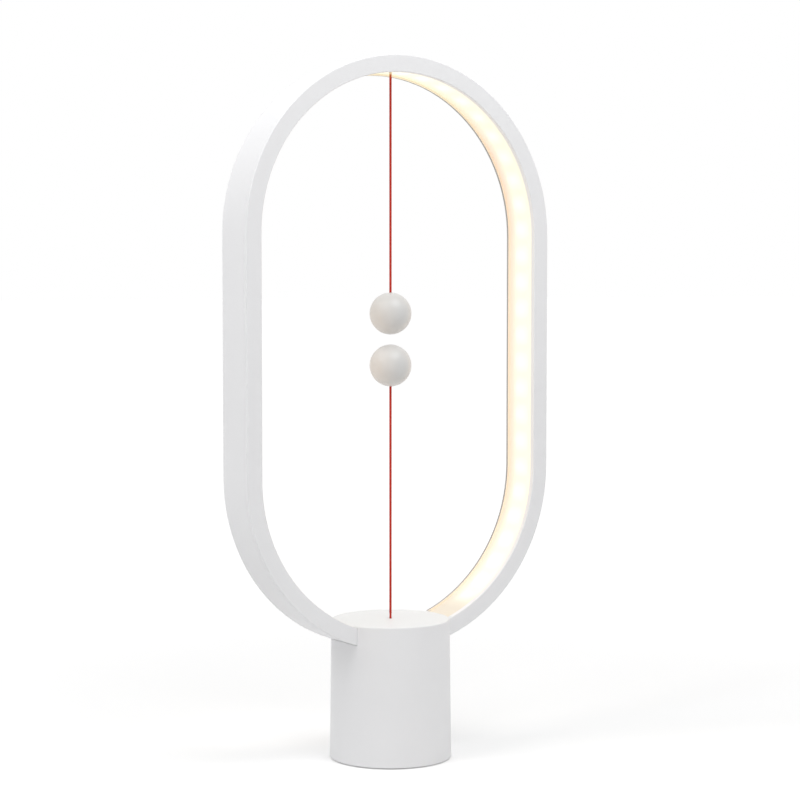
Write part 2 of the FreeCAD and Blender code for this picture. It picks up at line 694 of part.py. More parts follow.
def make_ball(name, height, rotation):
    """A ball with its magnet, plug and knot; the cord leaves at the ball's own +Z side."""
    ball = body(name + "_ball_body")
    solid(ball, "AdditiveSphere", {"Radius": "ball_diameter / 2"})
    bore = "magnet_diameter + 2 * part_clearance"
    cylinder(ball, bore, "ball_diameter / 2 - " + MAGNET_BACK, "0", "0", "-ball_diameter / 2", cut=True)
    cylinder(ball, "knot_pocket_diameter", "knot_pocket_depth", "0", "0", "-" + MAGNET_BACK, cut=True)
    hole_length = "ball_diameter / 2 - " + POCKET_CEILING
    cylinder(ball, "cord_hole_diameter", hole_length, "0", "0", POCKET_CEILING, cut=True)
    place(ball, "0", "0", height, rotation)
    node(ball, name + "_ball")

    magnet = body(name + "_magnet_body")
    cylinder(magnet, "magnet_diameter", "magnet_thickness", "0", "0", "-" + MAGNET_FACE)
    place(magnet, "0", "0", height, rotation)
    node(magnet, name + "_magnet")

    dome = doc.addObject("Part::Sphere", name + "_plug_dome")
    dome.setExpression("Radius", bound("ball_diameter / 2"))
    core = doc.addObject("Part::Cylinder", name + "_plug_core")
    core.setExpression("Radius", bound("magnet_diameter / 2"))
    core.setExpression("Height", bound("magnet_cover"))
    place(core, "0", "0", "-ball_diameter / 2")
    plug = doc.addObject("Part::Common", name + "_plug")
    plug.Base = dome
    plug.Tool = core
    place(plug, "0", "0", height, rotation)
    node(plug, name + "_ball_plug")

    if rotation:
        make_knot(name + "_ball_knot", "(%s) - %s" % (height, POCKET_CEILING))
    else:
        make_knot(name + "_ball_knot", "(%s) + %s - knot_length" % (height, POCKET_CEILING))


def make_pendulums():
    make_bush("top_cord_bush", LENS_TOP_AT_TOP, "lens_thickness", UPSIDE_DOWN)
    bush_top = LENS_TOP_AT_TOP + " + bush_flange_thickness"
    make_knot("top_cord_knot", bush_top)
    make_cord("upper_cord_stub", LENS_BOTTOM_AT_TOP, bush_top)
    make_bend("upper_cord_bend", TOP_BEND_CENTRE)
    upper_end = TOP_BEND_CENTRE + " - bend_diameter / 2"
    make_cord("upper_cord", "upper_ball_height + " + POCKET_CEILING, upper_end)
    make_ball("upper", "upper_ball_height", None)
    make_ball("lower", LOWER_BALL_HEIGHT, UPSIDE_DOWN)
    lower_start = LOWER_BEND_CENTRE + " + bend_diameter / 2"
    make_cord("lower_cord", lower_start, LOWER_BALL_HEIGHT + " - " + POCKET_CEILING)
    make_bend("lower_cord_bend", LOWER_BEND_CENTRE)


def make_base_shell():
    shell = body("base_shell_body")
    outer_bottom = "base_bottom_diameter / 2"
    outer_top = "base_top_diameter / 2"
    corners = (
        ("0", "base_height"),
        ("0", BASE_CAVITY_TOP),
        (BASE_INNER_TOP, BASE_CAVITY_TOP),
        (BASE_INNER_BOTTOM, "foot_thickness"),
        (outer_bottom, "foot_thickness"),
        (outer_top, "base_height"),
    )
    revolution(shell, corners)
    round_edges(shell, is_top_rim, "base_edge_round")
    cut_hoop_slots(shell)
    for x, y in BASE_SCREW_PLACES:
        height = "%s + base_screw_length + base_boss_end - %s" % (BASE_SCREW_SEAT, PLATE_TOP)
        cylinder(shell, BASE_BOSS_DIAMETER, height, x, y, PLATE_TOP)
    for x, y in CRADLE_SCREW_PLACES:
        low = "%s - cradle_boss_length" % BASE_CAVITY_TOP
        cylinder(shell, "cradle_boss_diameter", "cradle_boss_length + base_top_thickness / 2", x, y, low)
    for x, y in BRACKET_SCREW_PLACES:
        height = "bracket_post_length + base_top_thickness / 2"
        cylinder(shell, "bracket_post_diameter", height, x, y, BRACKET_TOP)
    cut_screw_holes(shell)
    cut_socket_window(shell)
    hole = "bush_spigot_diameter + 2 * part_clearance"
    low = "%s - %s" % (BASE_CAVITY_TOP, CUT_MARGIN)
    cylinder(shell, hole, "base_top_thickness + 2 * %s" % CUT_MARGIN, "0", "0", low, cut=True)
    node(shell, "base_shell")


def is_top_rim(edge):
    """Whether an edge is the outer rim of the base's top."""
    if edge.Curve.TypeId != "Part::GeomCircle":
        return False
    level = abs(edge.Curve.Center.z - value("base_height")) < MATCH
    return level and abs(edge.Curve.Radius - value("base_top_diameter / 2")) < MATCH


def cut_screw_holes(shell):
    """Pilot holes in the shell's bosses, a little deeper than each screw."""
    hole = "screw_diameter + 2 * part_clearance"
    for x, y in BASE_SCREW_PLACES:
        cylinder(shell, hole, "base_screw_length", x, y, BASE_SCREW_SEAT, cut=True)
    for x, y in CRADLE_SCREW_PLACES:
        cylinder(shell, hole, "cradle_screw_length", x, y, CRADLE_SCREW_SEAT, cut=True)
    for x, y in BRACKET_SCREW_PLACES:
        cylinder(shell, hole, "bracket_screw_length", x, y, BRACKET_BOTTOM, cut=True)


def cut_hoop_slots(shell):
    """The two slots in the wall and the top's edge that the hoop's ends come through."""
    sketch = new_sketch(shell, "XZ_Plane")
    stadium(sketch, HOOP_OUTER + " + hoop_fit")
    stadium(sketch, HOOP_INNER + " - hoop_fit")
    pocket(shell, sketch, "hoop_depth + 2 * hoop_fit", midplane=True)


def cut_socket_window(shell):
    """Rounded slot from the power socket out through the back wall."""
    sketch = new_sketch(shell, "XZ_Plane", "-" + SOCKET_MOUTH + " + socket_depth")
    width = "socket_width + 2 * socket_window_gap"
    height = "socket_height + 2 * socket_window_gap"
    obround(sketch, width, height, SOCKET_CENTRE)
    pocket(shell, sketch, "base_bottom_diameter / 2")


def obround(sketch, width, height, level):
    """A slot outline with round ends, centred on the Z axis at a level."""
    first = sketch.GeometryCount
    half = value("(%s) / 2 - (%s) / 2" % (width, height))
    radius = value("(%s) / 2" % height)
    z = value(level)
    normal = FreeCAD.Vector(0, 0, 1)
    right = Part.Circle(FreeCAD.Vector(half, z, 0), normal, radius)
    left = Part.Circle(FreeCAD.Vector(-half, z, 0), normal, radius)
    sketch.addGeometry(Part.ArcOfCircle(right, -math.pi / 2, math.pi / 2))
    top_right = FreeCAD.Vector(half, z + radius, 0)
    top_left = FreeCAD.Vector(-half, z + radius, 0)
    sketch.addGeometry(Part.LineSegment(top_right, top_left))
    sketch.addGeometry(Part.ArcOfCircle(left, math.pi / 2, 3 * math.pi / 2))
    bottom_left = FreeCAD.Vector(-half, z - radius, 0)
    bottom_right = FreeCAD.Vector(half, z - radius, 0)
    sketch.addGeometry(Part.LineSegment(bottom_left, bottom_right))
    right_arc, top, left_arc, bottom = range(first, first + 4)
    for one, one_end, other, other_end in (
        (right_arc, 2, top, 1),
        (top, 2, left_arc, 1),
        (left_arc, 2, bottom, 1),
        (bottom, 2, right_arc, 1),
    ):
        sketch.addConstraint(Sketcher.Constraint("Tangent", one, one_end, other, other_end))
    fix(sketch, "level", "DistanceY", (-1, 1, right_arc, 3), level)
    fix(sketch, "right", "DistanceX", (-1, 1, right_arc, 3), "(%s) / 2 - (%s) / 2" % (width, height))
    fix(sketch, "left", "DistanceX", (-1, 1, left_arc, 3), "(%s) / 2 - (%s) / 2" % (height, width))
    fix(sketch, "end_radius", "Radius", (right_arc,), "(%s) / 2" % height)


def make_cradle():
    """Ring under the base's top with two troughs that the hoop's ends lie in."""
    cradle = body("hoop_cradle_body")
    cylinder(cradle, "2 * " + CRADLE_OUTER, "cradle_height", "0", "0", CRADLE_BOTTOM)
    cylinder(cradle, CRADLE_BORE, "cradle_height", "0", "0", CRADLE_BOTTOM, cut=True)
    sketch = new_sketch(cradle, "XZ_Plane")
    stadium(sketch, HOOP_OUTER + " + hoop_fit")
    pocket(cradle, sketch, "hoop_depth + 2 * hoop_fit", midplane=True)
    for x, y in CRADLE_SCREW_PLACES:
        recess = "cradle_boss_diameter + 4 * part_clearance"
        low = "%s - cradle_boss_length" % BASE_CAVITY_TOP
        cylinder(cradle, recess, "cradle_height", x, y, low, cut=True)
        cut_counterbore(cradle, x, y, CRADLE_BOTTOM, CRADLE_SCREW_SEAT, "cradle_web")
    for x, y in HOOP_SCREW_PLACES:
        cut_counterbore(cradle, x, y, CRADLE_BOTTOM, HOOP_SCREW_SEAT, "cradle_height")
    node(cradle, "hoop_cradle")
    length = "cradle_screw_length - part_clearance"
    screw_group("cradle_screws", at_level(CRADLE_SCREW_PLACES, CRADLE_SCREW_SEAT), length)
    screw_group("hoop_screws", at_level(HOOP_SCREW_PLACES, HOOP_SCREW_SEAT), "hoop_screw_length")


def cut_counterbore(owner, x, y, bottom, seat, depth):
    """Head recess from the bottom up to the seat, and a clearance hole beyond it."""
    head = "screw_head_diameter + 4 * part_clearance"
    cylinder(owner, head, "(%s) - (%s)" % (seat, bottom), x, y, bottom, cut=True)
    hole = "screw_diameter + 2 * part_clearance"
    cylinder(owner, hole, depth, x, y, seat, cut=True)


def make_bottom():
    plate = body("bottom_plate_body")
    diameter = "2 * (%s - plate_gap)" % BASE_INNER_BOTTOM
    cylinder(plate, diameter, "plate_thickness", "0", "0", "foot_thickness")
    for x, y in POST_PLACES:
        height = BOARD_BOTTOM + " - foot_thickness"
        cylinder(plate, "board_post_diameter", height, x, y, "foot_thickness")
        low = BOARD_BOTTOM + " - board_screw_length"
        hole = "small_screw_diameter + 2 * part_clearance"
        cylinder(plate, hole, "board_screw_length", x, y, low, cut=True)
    for x, y in BASE_SCREW_PLACES:
        cut_counterbore(plate, x, y, "foot_thickness", BASE_SCREW_SEAT, "plate_thickness")
    for x, y in BALLAST_SCREW_PLACES:
        hole = "screw_diameter + 2 * part_clearance"
        cylinder(plate, hole, "plate_thickness", x, y, "foot_thickness", cut=True)
    node(plate, "bottom_plate")
    length = "base_screw_length - part_clearance"
    screw_group("bottom_screws", at_level(BASE_SCREW_PLACES, BASE_SCREW_SEAT), length)

    foot = body("foot_ring_body")
    sketch = new_sketch(foot, "XY_Plane")
    circle(sketch, "foot_outer_diameter")
    circle(sketch, "foot_inner_diameter")
    pad(foot, sketch, "foot_thickness")
    node(foot, "foot_ring")

    ballast = body("ballast_weight_body")
    cylinder(ballast, "2 * " + BALLAST_RADIUS, "ballast_thickness", "0", "0", PLATE_TOP)
    for x, y in BALLAST_SCREW_PLACES:
        hole = "screw_diameter + 2 * part_clearance"
        cylinder(ballast, hole, "ballast_thickness", x, y, PLATE_TOP, cut=True)
    node(ballast, "ballast_weight")
    length = "ballast_thickness + plate_thickness - part_clearance"
    screw_group("ballast_screws", at_level(BALLAST_SCREW_PLACES, BALLAST_TOP), length, turn=UPSIDE_DOWN)


def make_board():
    board = body("control_board_body")
    sketch = new_sketch(board, "XY_Plane", BOARD_BOTTOM)
    circle(sketch, "2 * " + BOARD_RADIUS)
    for x, y in POST_PLACES:
        circle(sketch, "small_screw_diameter + 2 * part_clearance", x, y)
    pad(board, sketch, "board_thickness")
    node(board, "control_board")
    length = "board_screw_length + board_thickness - part_clearance"
    seats = at_level(POST_PLACES, BOARD_TOP)
    screw_group("board_screws", seats, length, size="small_screw", turn=UPSIDE_DOWN)
    make_board_components()
    make_socket()


def make_board_components():
    """Driver chip, choke, resistors, capacitors and the two wire connectors on top of the board."""

    def grid(steps):
        """A place on the board's grid, that many component pitches from its middle."""
        return "%s * component_pitch" % steps

    driver = ("driver_size", "driver_size", "driver_thickness")
    choke = ("choke_size", "choke_size", "choke_height")
    resistor = ("resistor_length", "resistor_width", "resistor_thickness")
    connector = ("connector_length", "connector_width", "connector_height")
    boxes = (
        (driver, grid(-0.5), grid(-1)),
        (choke, grid(-1.5), grid(0.5)),
        (resistor, grid(0.5), grid(-1.3)),
        (resistor, grid(0.5), grid(-0.8)),
        (connector, "led_wire_drop", LED_WIRE_MIDDLE),
        (connector, "switch_wire_drop", "0"),
    )
    capacitors = ((grid(-0.5), grid(1.5)), (grid(-2), grid(-1.5)))
    parts = []
    for (length, width, height), x, y in boxes:
        part = doc.addObject("Part::Box", "board_part")
        part.setExpression("Length", bound(length))
        part.setExpression("Width", bound(width))
        part.setExpression("Height", bound(height))
        place(part, "(%s) - (%s) / 2" % (x, length), "(%s) - (%s) / 2" % (y, width), BOARD_TOP)
        parts.append(part)
    for x, y in capacitors:
        part = doc.addObject("Part::Cylinder", "board_capacitor")
        part.setExpression("Radius", bound("capacitor_diameter / 2"))
        part.setExpression("Height", bound("capacitor_height"))
        place(part, x, y, BOARD_TOP)
        parts.append(part)
    group = doc.addObject("Part::Compound", "board_components")
    group.Links = parts
    node(group, "board_components")


def make_socket():
    """Power socket at the board's rear edge: a steel shell and the tongue inside it."""
    shell = body("socket_shell_body")
    sketch = new_sketch(shell, "XZ_Plane", "-" + SOCKET_MOUTH)
    obround(sketch, "socket_width", "socket_height", SOCKET_CENTRE)
    pad(shell, sketch, "socket_depth")
    hollow = new_sketch(shell, "XZ_Plane", "-" + SOCKET_MOUTH)
    obround(hollow, "socket_width - 2 * socket_shell", "socket_height - 2 * socket_shell", SOCKET_CENTRE)
    pocket(shell, hollow, "socket_depth - socket_shell", reverse=True)
    node(shell, "power_socket_shell")

    tongue = body("socket_tongue_body")
    back = SOCKET_MOUTH + " - socket_depth + socket_shell"
    middle = "%s + tongue_length / 2" % back
    low = SOCKET_CENTRE + " - tongue_thickness / 2"
    box(tongue, "tongue_width", "tongue_length", "tongue_thickness", "0", middle, low)
    node(tongue, "power_socket_tongue")


def make_switch():
    bracket = body("switch_bracket_body")
    box(bracket, BRACKET_LENGTH, "bracket_width", "bracket_thickness", "0", "0", BRACKET_BOTTOM)
    leg = "(bracket_width - micro_switch_width) / 2"
    leg_y = "(bracket_width + micro_switch_width) / 4"
    leg_height = "%s - %s" % (BRACKET_BOTTOM, SWITCH_BOTTOM)
    box(bracket, "micro_switch_length", leg, leg_height, SWITCH_MIDDLE, leg_y, SWITCH_BOTTOM)
    bore = "plunger_diameter + 2 * running_clearance"
    cylinder(bracket, bore, "bracket_thickness", "0", "0", BRACKET_BOTTOM, cut=True)
    for x, y in BRACKET_SCREW_PLACES:
        hole = "screw_diameter + 2 * part_clearance"
        cylinder(bracket, hole, "bracket_thickness", x, y, BRACKET_BOTTOM, cut=True)
    cut_micro_screw_holes(bracket)
    node(bracket, "switch_bracket")
    length = "bracket_screw_length - part_clearance"
    screw_group("bracket_screws", at_level(BRACKET_SCREW_PLACES, BRACKET_BOTTOM), length)

    switch = body("micro_switch_case_body")
    case = ("micro_switch_length", "micro_switch_width", "micro_switch_height")
    box(switch, *case, SWITCH_MIDDLE, "0", SWITCH_BOTTOM)
    cut_micro_screw_holes(switch)
    slot_length = "button_length + 2 * running_clearance"
    slot_width = "button_width + 2 * running_clearance"
    box(switch, slot_length, slot_width, "2 * button_stem", "button_offset", "0", SWITCH_BOTTOM, cut=True)
    node(switch, "micro_switch_case")

    button = body("switch_button_body")
    height = "button_reach + button_stem"
    box(button, "button_length", "button_width", height, "button_offset", "0", FLANGE_TOP)
    node(button, "switch_button")
    seats = [(x, "-micro_switch_width / 2", MICRO_SCREW_LEVEL) for x in micro_screw_xs()]
    screw_group("micro_switch_screws", seats, "micro_screw_length", size="small_screw", turn=LAY_ALONG_Y)
    make_pins()
    make_plunger()


def micro_screw_xs():
    return ["%s + %d * micro_screw_spacing / 2" % (SWITCH_MIDDLE, side) for side in side_signs()]


def cut_micro_screw_holes(owner):
    """Two cross holes along Y for the screws that hold the micro switch to its bracket."""
    for x in micro_screw_xs():
        hole = "small_screw_diameter + 2 * part_clearance"
        start = "-bracket_width"
        cylinder(owner, hole, "2 * bracket_width", x, start, MICRO_SCREW_LEVEL, LAY_ALONG_Y, cut=True)


def make_pins():
    """The micro switch's two solder pins, on its outer end."""
    pins = []
    for side in side_signs():
        pin = doc.addObject("Part::Box", "switch_pin")
        pin.setExpression("Length", bound("pin_length"))
        pin.setExpression("Width", bound("wire_diameter"))
        pin.setExpression("Height", bound("wire_diameter"))
        y = "%d * pin_spacing / 2 - wire_diameter / 2" % side
        place(pin, SWITCH_END, y, PIN_LEVEL + " - wire_diameter / 2")
        pins.append(pin)
    group = doc.addObject("Part::Compound", "micro_switch_pins")
    group.Links = pins
    node(group, "micro_switch_pins")


def make_plunger():
    """The rod that the lower cord pulls up, with its flange, return spring and the cord's knot."""
    plunger = body("switch_plunger_body")
    cylinder(plunger, "plunger_flange_diameter", "plunger_flange_thickness", "0", "0", FLANGE_BOTTOM)
    length = "%s - %s" % (PLUNGER_TOP, FLANGE_BOTTOM)
    cylinder(plunger, "plunger_diameter", length, "0", "0", FLANGE_BOTTOM)
    cylinder(plunger, "cord_hole_diameter", length, "0", "0", FLANGE_BOTTOM, cut=True)
    node(plunger, "switch_plunger")
    make_knot("lower_cord_knot", FLANGE_BOTTOM + " - knot_length")
    make_cord("lower_cord_stub", FLANGE_BOTTOM, LOWER_BEND_CENTRE + " - bend_diameter / 2 - bend_gap")
    make_bush("cord_outlet_bush", BASE_CAVITY_TOP, "base_top_thickness")

    spring = body("return_spring_body")
    sketch = new_sketch(spring, "XZ_Plane")
    circle(sketch, "spring_wire", "spring_diameter / 2", FLANGE_TOP + " + spring_wire / 2")
    helix = spring.newObject("PartDesign::AdditiveHelix", "return_spring_helix")
    helix.Profile = sketch
    helix.ReferenceAxis = (sketch, ["V_Axis"])
    helix.Mode = "height-turns-angle"
    helix.setExpression("Height", bound("%s - %s - spring_wire" % (BRACKET_BOTTOM, FLANGE_TOP)))
    helix.setExpression("Turns", bound("spring_turns"))
    doc.recompute()
    node(spring, "return_spring")


def wire_tube(label, corners):
    """Round wire along straight runs joined by arcs of the wire's bend radius."""
    radius = value("wire_bend_radius")
    points = [FreeCAD.Vector(*[value(c) for c in corner]) for corner in corners]
    edges = []
    start = points[0]
    for before, corner, after in zip(points, points[1:], points[2:]):
        back = (before - corner).normalize()
        onward = (after - corner).normalize()
        half_turn = (math.pi - back.getAngle(onward)) / 2
        reach = radius * math.tan(half_turn)
        middle_way = (back + onward).normalize()
        arc_start = corner + back * reach
        arc_end = corner + onward * reach
        arc_middle = corner + middle_way * (radius / math.cos(half_turn) - radius)
        edges.append(Part.LineSegment(start, arc_start).toShape())
        edges.append(Part.Arc(arc_start, arc_middle, arc_end).toShape())
        start = arc_end
    edges.append(Part.LineSegment(start, points[-1]).toShape())
    path = Part.Wire(edges)
    ring = Part.Circle(points[0], (points[1] - points[0]).normalize(), value("wire_diameter / 2"))
    tube = path.makePipeShell([Part.Wire(ring.toShape())], True, False)
    expected = path.Length * math.pi * value("wire_diameter / 2") ** 2
    if abs(tube.Volume - expected) > expected * VOLUME_TOLERANCE:
        raise RuntimeError("%s has the wrong volume" % label)
    feature = doc.addObject("Part::Feature", label)
    feature.Shape = tube
    feature.Placement = FreeCAD.Placement()
    return node(feature, label)


def make_wires():
    """Wires from the strip and from the micro switch down to their connectors on the board."""
    start_x = "(strip_end_gap / 2)"
    middle_radius = "((%s + %s) / 2)" % (LENS_OUTER, STRIP_INNER)
    for label, side in (("led_wire_negative", 1), ("led_wire_positive", -1)):
        y = "(%s) + %d * led_wire_spacing / 2" % (LED_WIRE_MIDDLE, side)
        corners = (
            (start_x, y, arc_height(middle_radius, start_x)),
            ("led_wire_drop", y, arc_height(HOOP_WALL_INNER, "led_wire_drop")),
            ("led_wire_drop", y, CONNECTOR_TOP),
        )
        wire_tube(label, corners)
    for label, side in (("switch_wire_common", -1), ("switch_wire_contact", 1)):
        y = "%d * pin_spacing / 2" % side
        corners = (
            (SWITCH_END + " + pin_length", y, PIN_LEVEL),
            ("switch_wire_drop", y, PIN_LEVEL),
            ("switch_wire_drop", y, CONNECTOR_TOP),
        )
        wire_tube(label, corners)


def check_model():
    """Stops if any object failed or any sub-part is empty or broken."""
    doc.recompute()
    for thing in doc.Objects:
        if "Invalid" in thing.State or "Error" in thing.State:
            raise RuntimeError("%s failed: %s" % (thing.Name, thing.State))
    for thing in NODES:
        if thing.Shape.isNull() or not thing.Shape.isValid() or thing.Shape.Volume <= 0:
            raise RuntimeError("%s has no sound shape" % thing.Label)


def write_parts():
    os.makedirs("parts", exist_ok=True)
    for thing in NODES:
        thing.Shape.exportStep("parts/%s.step" % thing.Label)
        bounds = thing.Shape.BoundBox
        print(
            "%-24s %3d solids %10.1f mm3  x %.1f..%.1f  y %.1f..%.1f  z %.1f..%.1f"
            % (
                thing.Label,
                len(thing.Shape.Solids),
                thing.Shape.Volume,
                bounds.XMin,
                bounds.XMax,
                bounds.YMin,
                bounds.YMax,
                bounds.ZMin,
                bounds.ZMax,
            )
        )


make_base_shell()
make_cradle()
make_bottom()
make_board()
make_hoop()
make_chips()
make_pendulums()
make_switch()
make_wires()
check_model()
write_parts()
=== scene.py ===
import bpy
import json
import math
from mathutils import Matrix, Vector


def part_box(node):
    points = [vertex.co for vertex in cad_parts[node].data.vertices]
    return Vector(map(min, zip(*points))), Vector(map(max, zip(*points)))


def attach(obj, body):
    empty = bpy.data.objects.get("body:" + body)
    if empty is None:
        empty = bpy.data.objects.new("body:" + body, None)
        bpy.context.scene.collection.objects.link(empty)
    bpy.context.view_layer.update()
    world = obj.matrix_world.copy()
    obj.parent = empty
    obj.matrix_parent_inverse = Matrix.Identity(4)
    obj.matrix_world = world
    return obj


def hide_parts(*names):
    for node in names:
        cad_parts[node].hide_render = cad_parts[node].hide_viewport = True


# Looks of the magnetic balance lamp, around its CAD frame. Lengths are metres, and the lamp faces
# -Y. The hoop runs round two centres, one above the other. A point's reach is its distance from
# the line between them, seen from the front.
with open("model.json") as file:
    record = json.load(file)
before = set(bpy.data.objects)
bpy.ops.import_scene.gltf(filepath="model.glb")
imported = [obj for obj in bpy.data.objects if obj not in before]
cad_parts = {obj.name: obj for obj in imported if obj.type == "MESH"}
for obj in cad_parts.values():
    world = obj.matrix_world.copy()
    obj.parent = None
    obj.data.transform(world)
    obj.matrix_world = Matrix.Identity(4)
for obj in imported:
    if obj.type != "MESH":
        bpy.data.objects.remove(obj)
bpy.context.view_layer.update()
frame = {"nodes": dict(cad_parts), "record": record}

MM = 0.001

# Camera, in degrees and metres, and its lens in millimetres on a sensor as wide as the picture.
CAMERA_AZIMUTH = -32.25
CAMERA_ELEVATION = 3.44
CAMERA_DISTANCE = 1.2016
CAMERA_TARGET = Vector((0.0, 0.0, 0.2))
CAMERA_LENS = 94.64
CAMERA_SENSOR = 36.0
CAMERA_SHIFT = (0.0119, 0.0123)

# Studio: a plain white sky, and two soft lights, in front and to the left.
WHITE = (1.0, 1.0, 1.0, 1.0)
SKY_LEVEL = 0.592
SOFT_LIGHTS = (
    {"azimuth": 12.0, "elevation": 50.0, "distance": 0.7, "brightness": 3.72},
    {"azimuth": -90.0, "elevation": 38.0, "distance": 0.8, "brightness": 3.72},
)
SOFT_LIGHT_SIDE = 0.5
SOFT_LIGHT_TARGET = Vector((0.0, 0.0, 0.38))

# Warm lamps that stand for the lens's light on the balls, one along each limb of the hoop.
GLOW_COLOUR = (1.0, 0.62, 0.36)
GLOW_BRIGHTNESS = 2.5
GLOW_ASIDE = 0.09
GLOW_HEIGHT = 0.21
GLOW_LENGTH = 0.11
GLOW_WIDTH = 0.02

# Pale floor. It looks white and keeps the lamp's shadow, because it glows a little for the camera:
# less near the lamp, where the soft lights reach it, and more far off.
FLOOR_COLOUR = (0.82, 0.82, 0.82, 1.0)
FLOOR_ROUGHNESS = 0.9
FLOOR_GLOW_NEAR = 0.235
FLOOR_GLOW_FAR = 0.54
FLOOR_FADE = (0.15, 1.0)  # distances from the lamp's axis, near and far off
FLOOR_HALF_SIDE = 30.0

# Cords. A route has part.py's points: its ends, and one six diameters in from each.
CORD_DIAMETER = 1.2 * MM
CORD_LEAD = 6 * CORD_DIAMETER
ROUTE_RESOLUTION = 64

# Braid of the cords: a core, and flat strands that wind both ways, over one and under one.
BRAID_RADIUS = 0.70 * MM  # out to the crowns of its strands
BRAID_STRANDS = 4  # each way
BRAID_LAY = 4.0 * MM
BRAID_STEP = BRAID_LAY / 24
STRAND_SIDES = 6
STRAND_HALF_WIDTH = 0.26 * MM
STRAND_HALF_THICKNESS = 0.1 * MM
STRAND_WAVE = 0.03 * MM
STRAND_RADIUS = BRAID_RADIUS - STRAND_HALF_THICKNESS - STRAND_WAVE  # of its winding
CORE_SIDES = 12
CORE_RADIUS = BRAID_RADIUS - 0.05 * MM
BEND_RADIUS = BRAID_RADIUS * 1.08  # of the round core that fills a bend
BEND_RINGS = 11
BEND_SIDES = 24

# Colours of the red thread, and heights where the paler ones start and are whole.
THREAD = (0.52, 0.035, 0.022, 1.0)
THREAD_PAINTED_LIGHT = (0.62, 0.16, 0.06, 1.0)  # painted light of the lens, under it at the top of the hoop
THREAD_PAINTED_LIGHT_BAND = (387.4 * MM, 390.0 * MM)
THREAD_TOP = (0.90, 0.70, 0.44, 1.0)  # where it comes out of the lens
THREAD_TOP_BAND = (389.8 * MM, 390.6 * MM)
THREAD_FIBRE_SHARE = 0.6  # of its tone that comes from the fibres, and the rest from the dye

# Hoop and strip of LEDs. A chip has phosphor between two colours on its face, in a pale case.
HOOP_TOP_CENTRE = 299.5 * MM
HOOP_LOW_CENTRE = 164.5 * MM
STRIP_RADIUS = 98.0 * MM
CHIP_PITCH = 15.7 * MM
CHIP_FACE_HALF_WIDTH = 1.05 * MM
PHOSPHOR = ((0.95, 0.72, 0.16, 1.0), (1.0, 0.83, 0.3, 1.0))
CHIP_CASE = (0.9, 0.9, 0.86, 1.0)

# Opal lens. Across it, bands are shares of its half width, and start and are whole there.
LENS_HALF_WIDTH = 11.5 * MM
LENS_MIDDLE = 0.6 * MM  # how far behind the hoop's middle the lens's lies
LENS_BASE = (0.62, 0.61, 0.58, 1.0)
LENS_STRENGTH = 0.62
LENS_SPOT = (1.0, 0.97, 0.86, 1.0)  # glow in front of a chip
LENS_BETWEEN = (0.92, 0.84, 0.56, 1.0)  # glow between two chips
SPOT_SHARPNESS = 1.2
SPOT_FADE = 2.2  # how soon a spot fades across the lens
SPOT_MILK_SHARE = 0.08  # of a spot's glow that the lens's cloudiness makes uneven
LENS_REAR = (0.80, 0.46, 0.27, 1.0)  # glow along the rear edge
LENS_REAR_TOP = (0.70, 0.74, 0.43, 1.0)  # the same at the top of the hoop
LENS_REAR_BAND = (0.2, 1.0)
LENS_TOP_BAND = (345.0 * MM, 392.0 * MM)  # heights
LENS_FRONT = (0.66, 0.66, 0.52, 1.0)  # glow along the front edge
LENS_FRONT_BAND = (0.84, 1.0)
LENS_END = (0.38, 0.27, 0.12, 1.0)  # glow beyond the strip's ends
LENS_END_BAND = (-93.0 * MM, -82.0 * MM)  # heights, counted downwards

# Shell beside the lens, by reach and by depth from the hoop's middle, and the base's top, where
# light and shade are painted.
RIM_DEPTH = LENS_HALF_WIDTH + 0.2 * MM  # the rims' faces beside the lens, from the lens's middle
RIM_REACH = (90.96 * MM, 92.1 * MM)
# painted light: the lens's warm light on the rims beside it, as a warm tint and a faint glow
RIM_PAINTED_LIGHT = (0.80, 0.72, 0.60, 1.0)
RIM_PAINTED_GLOW = (1.0, 0.78, 0.56, 1.0)
RIM_STRENGTH = 0.28
LIP_DEPTH = 12.25 * MM  # the rear rim's inner edge, darkened by painted shade
LIP_REACH = (90.6 * MM, 91.3 * MM)
# painted shade on the rear rim's inner edge
LIP_PAINTED_SHADE = (0.42, 0.40, 0.37, 1.0)
EDGE_DEPTH = -10.8 * MM  # the front cover's inner edge, which glows faintly with painted light
EDGE_REACH = (90.6 * MM, 90.96 * MM)
EDGE_PAINTED_GLOW_STRENGTH = 0.10
BASE_HEIGHT = 80.0 * MM
BASE_TOP_MARGIN = 1.0 * MM
# painted shade: the base's top a little darker and cooler than the rest of the shell
BASE_TOP_PAINTED_SHADE = (0.81, 0.83, 0.84, 1.0)
UPWARD = 0.9  # a face whose normal has more than this of Z faces up


# ---------------------------------------------------------------- shader helpers

# Places of the sockets by which a Mix node takes and gives colours.
MIX_FACTOR, MIX_FIRST, MIX_SECOND, MIX_RESULT = 0, 6, 7, 2


def put(socket, value):
    """Sets a socket to a number or colour, or links another node's output to it."""
    if isinstance(value, bpy.types.NodeSocket):
        socket.id_data.links.new(value, socket)
    else:
        socket.default_value = value


def calc(tree, operation, *values):
    """The output of a Math node of that operation."""
    made = tree.nodes.new("ShaderNodeMath")
    made.operation = operation
    for socket, value in zip(made.inputs, values):
        put(socket, value)
    return made.outputs[0]


def both(tree, first, second):
    """Where two masks meet."""
    return calc(tree, "MULTIPLY", first, second)


def within(tree, value, low, high):
    """1 where a value lies between two limits."""
    over = calc(tree, "GREATER_THAN", value, low)
    return both(tree, over, calc(tree, "LESS_THAN", value, high))


def flipped(tree, value):
    """A value counted the other way."""
    return calc(tree, "MULTIPLY", value, -1.0)


def blend(tree, first, second, share):
    """A value of which that share is the first one, and the rest the second."""
    return calc(tree, "MULTIPLY_ADD", first, share, calc(tree, "MULTIPLY", second, 1.0 - share))


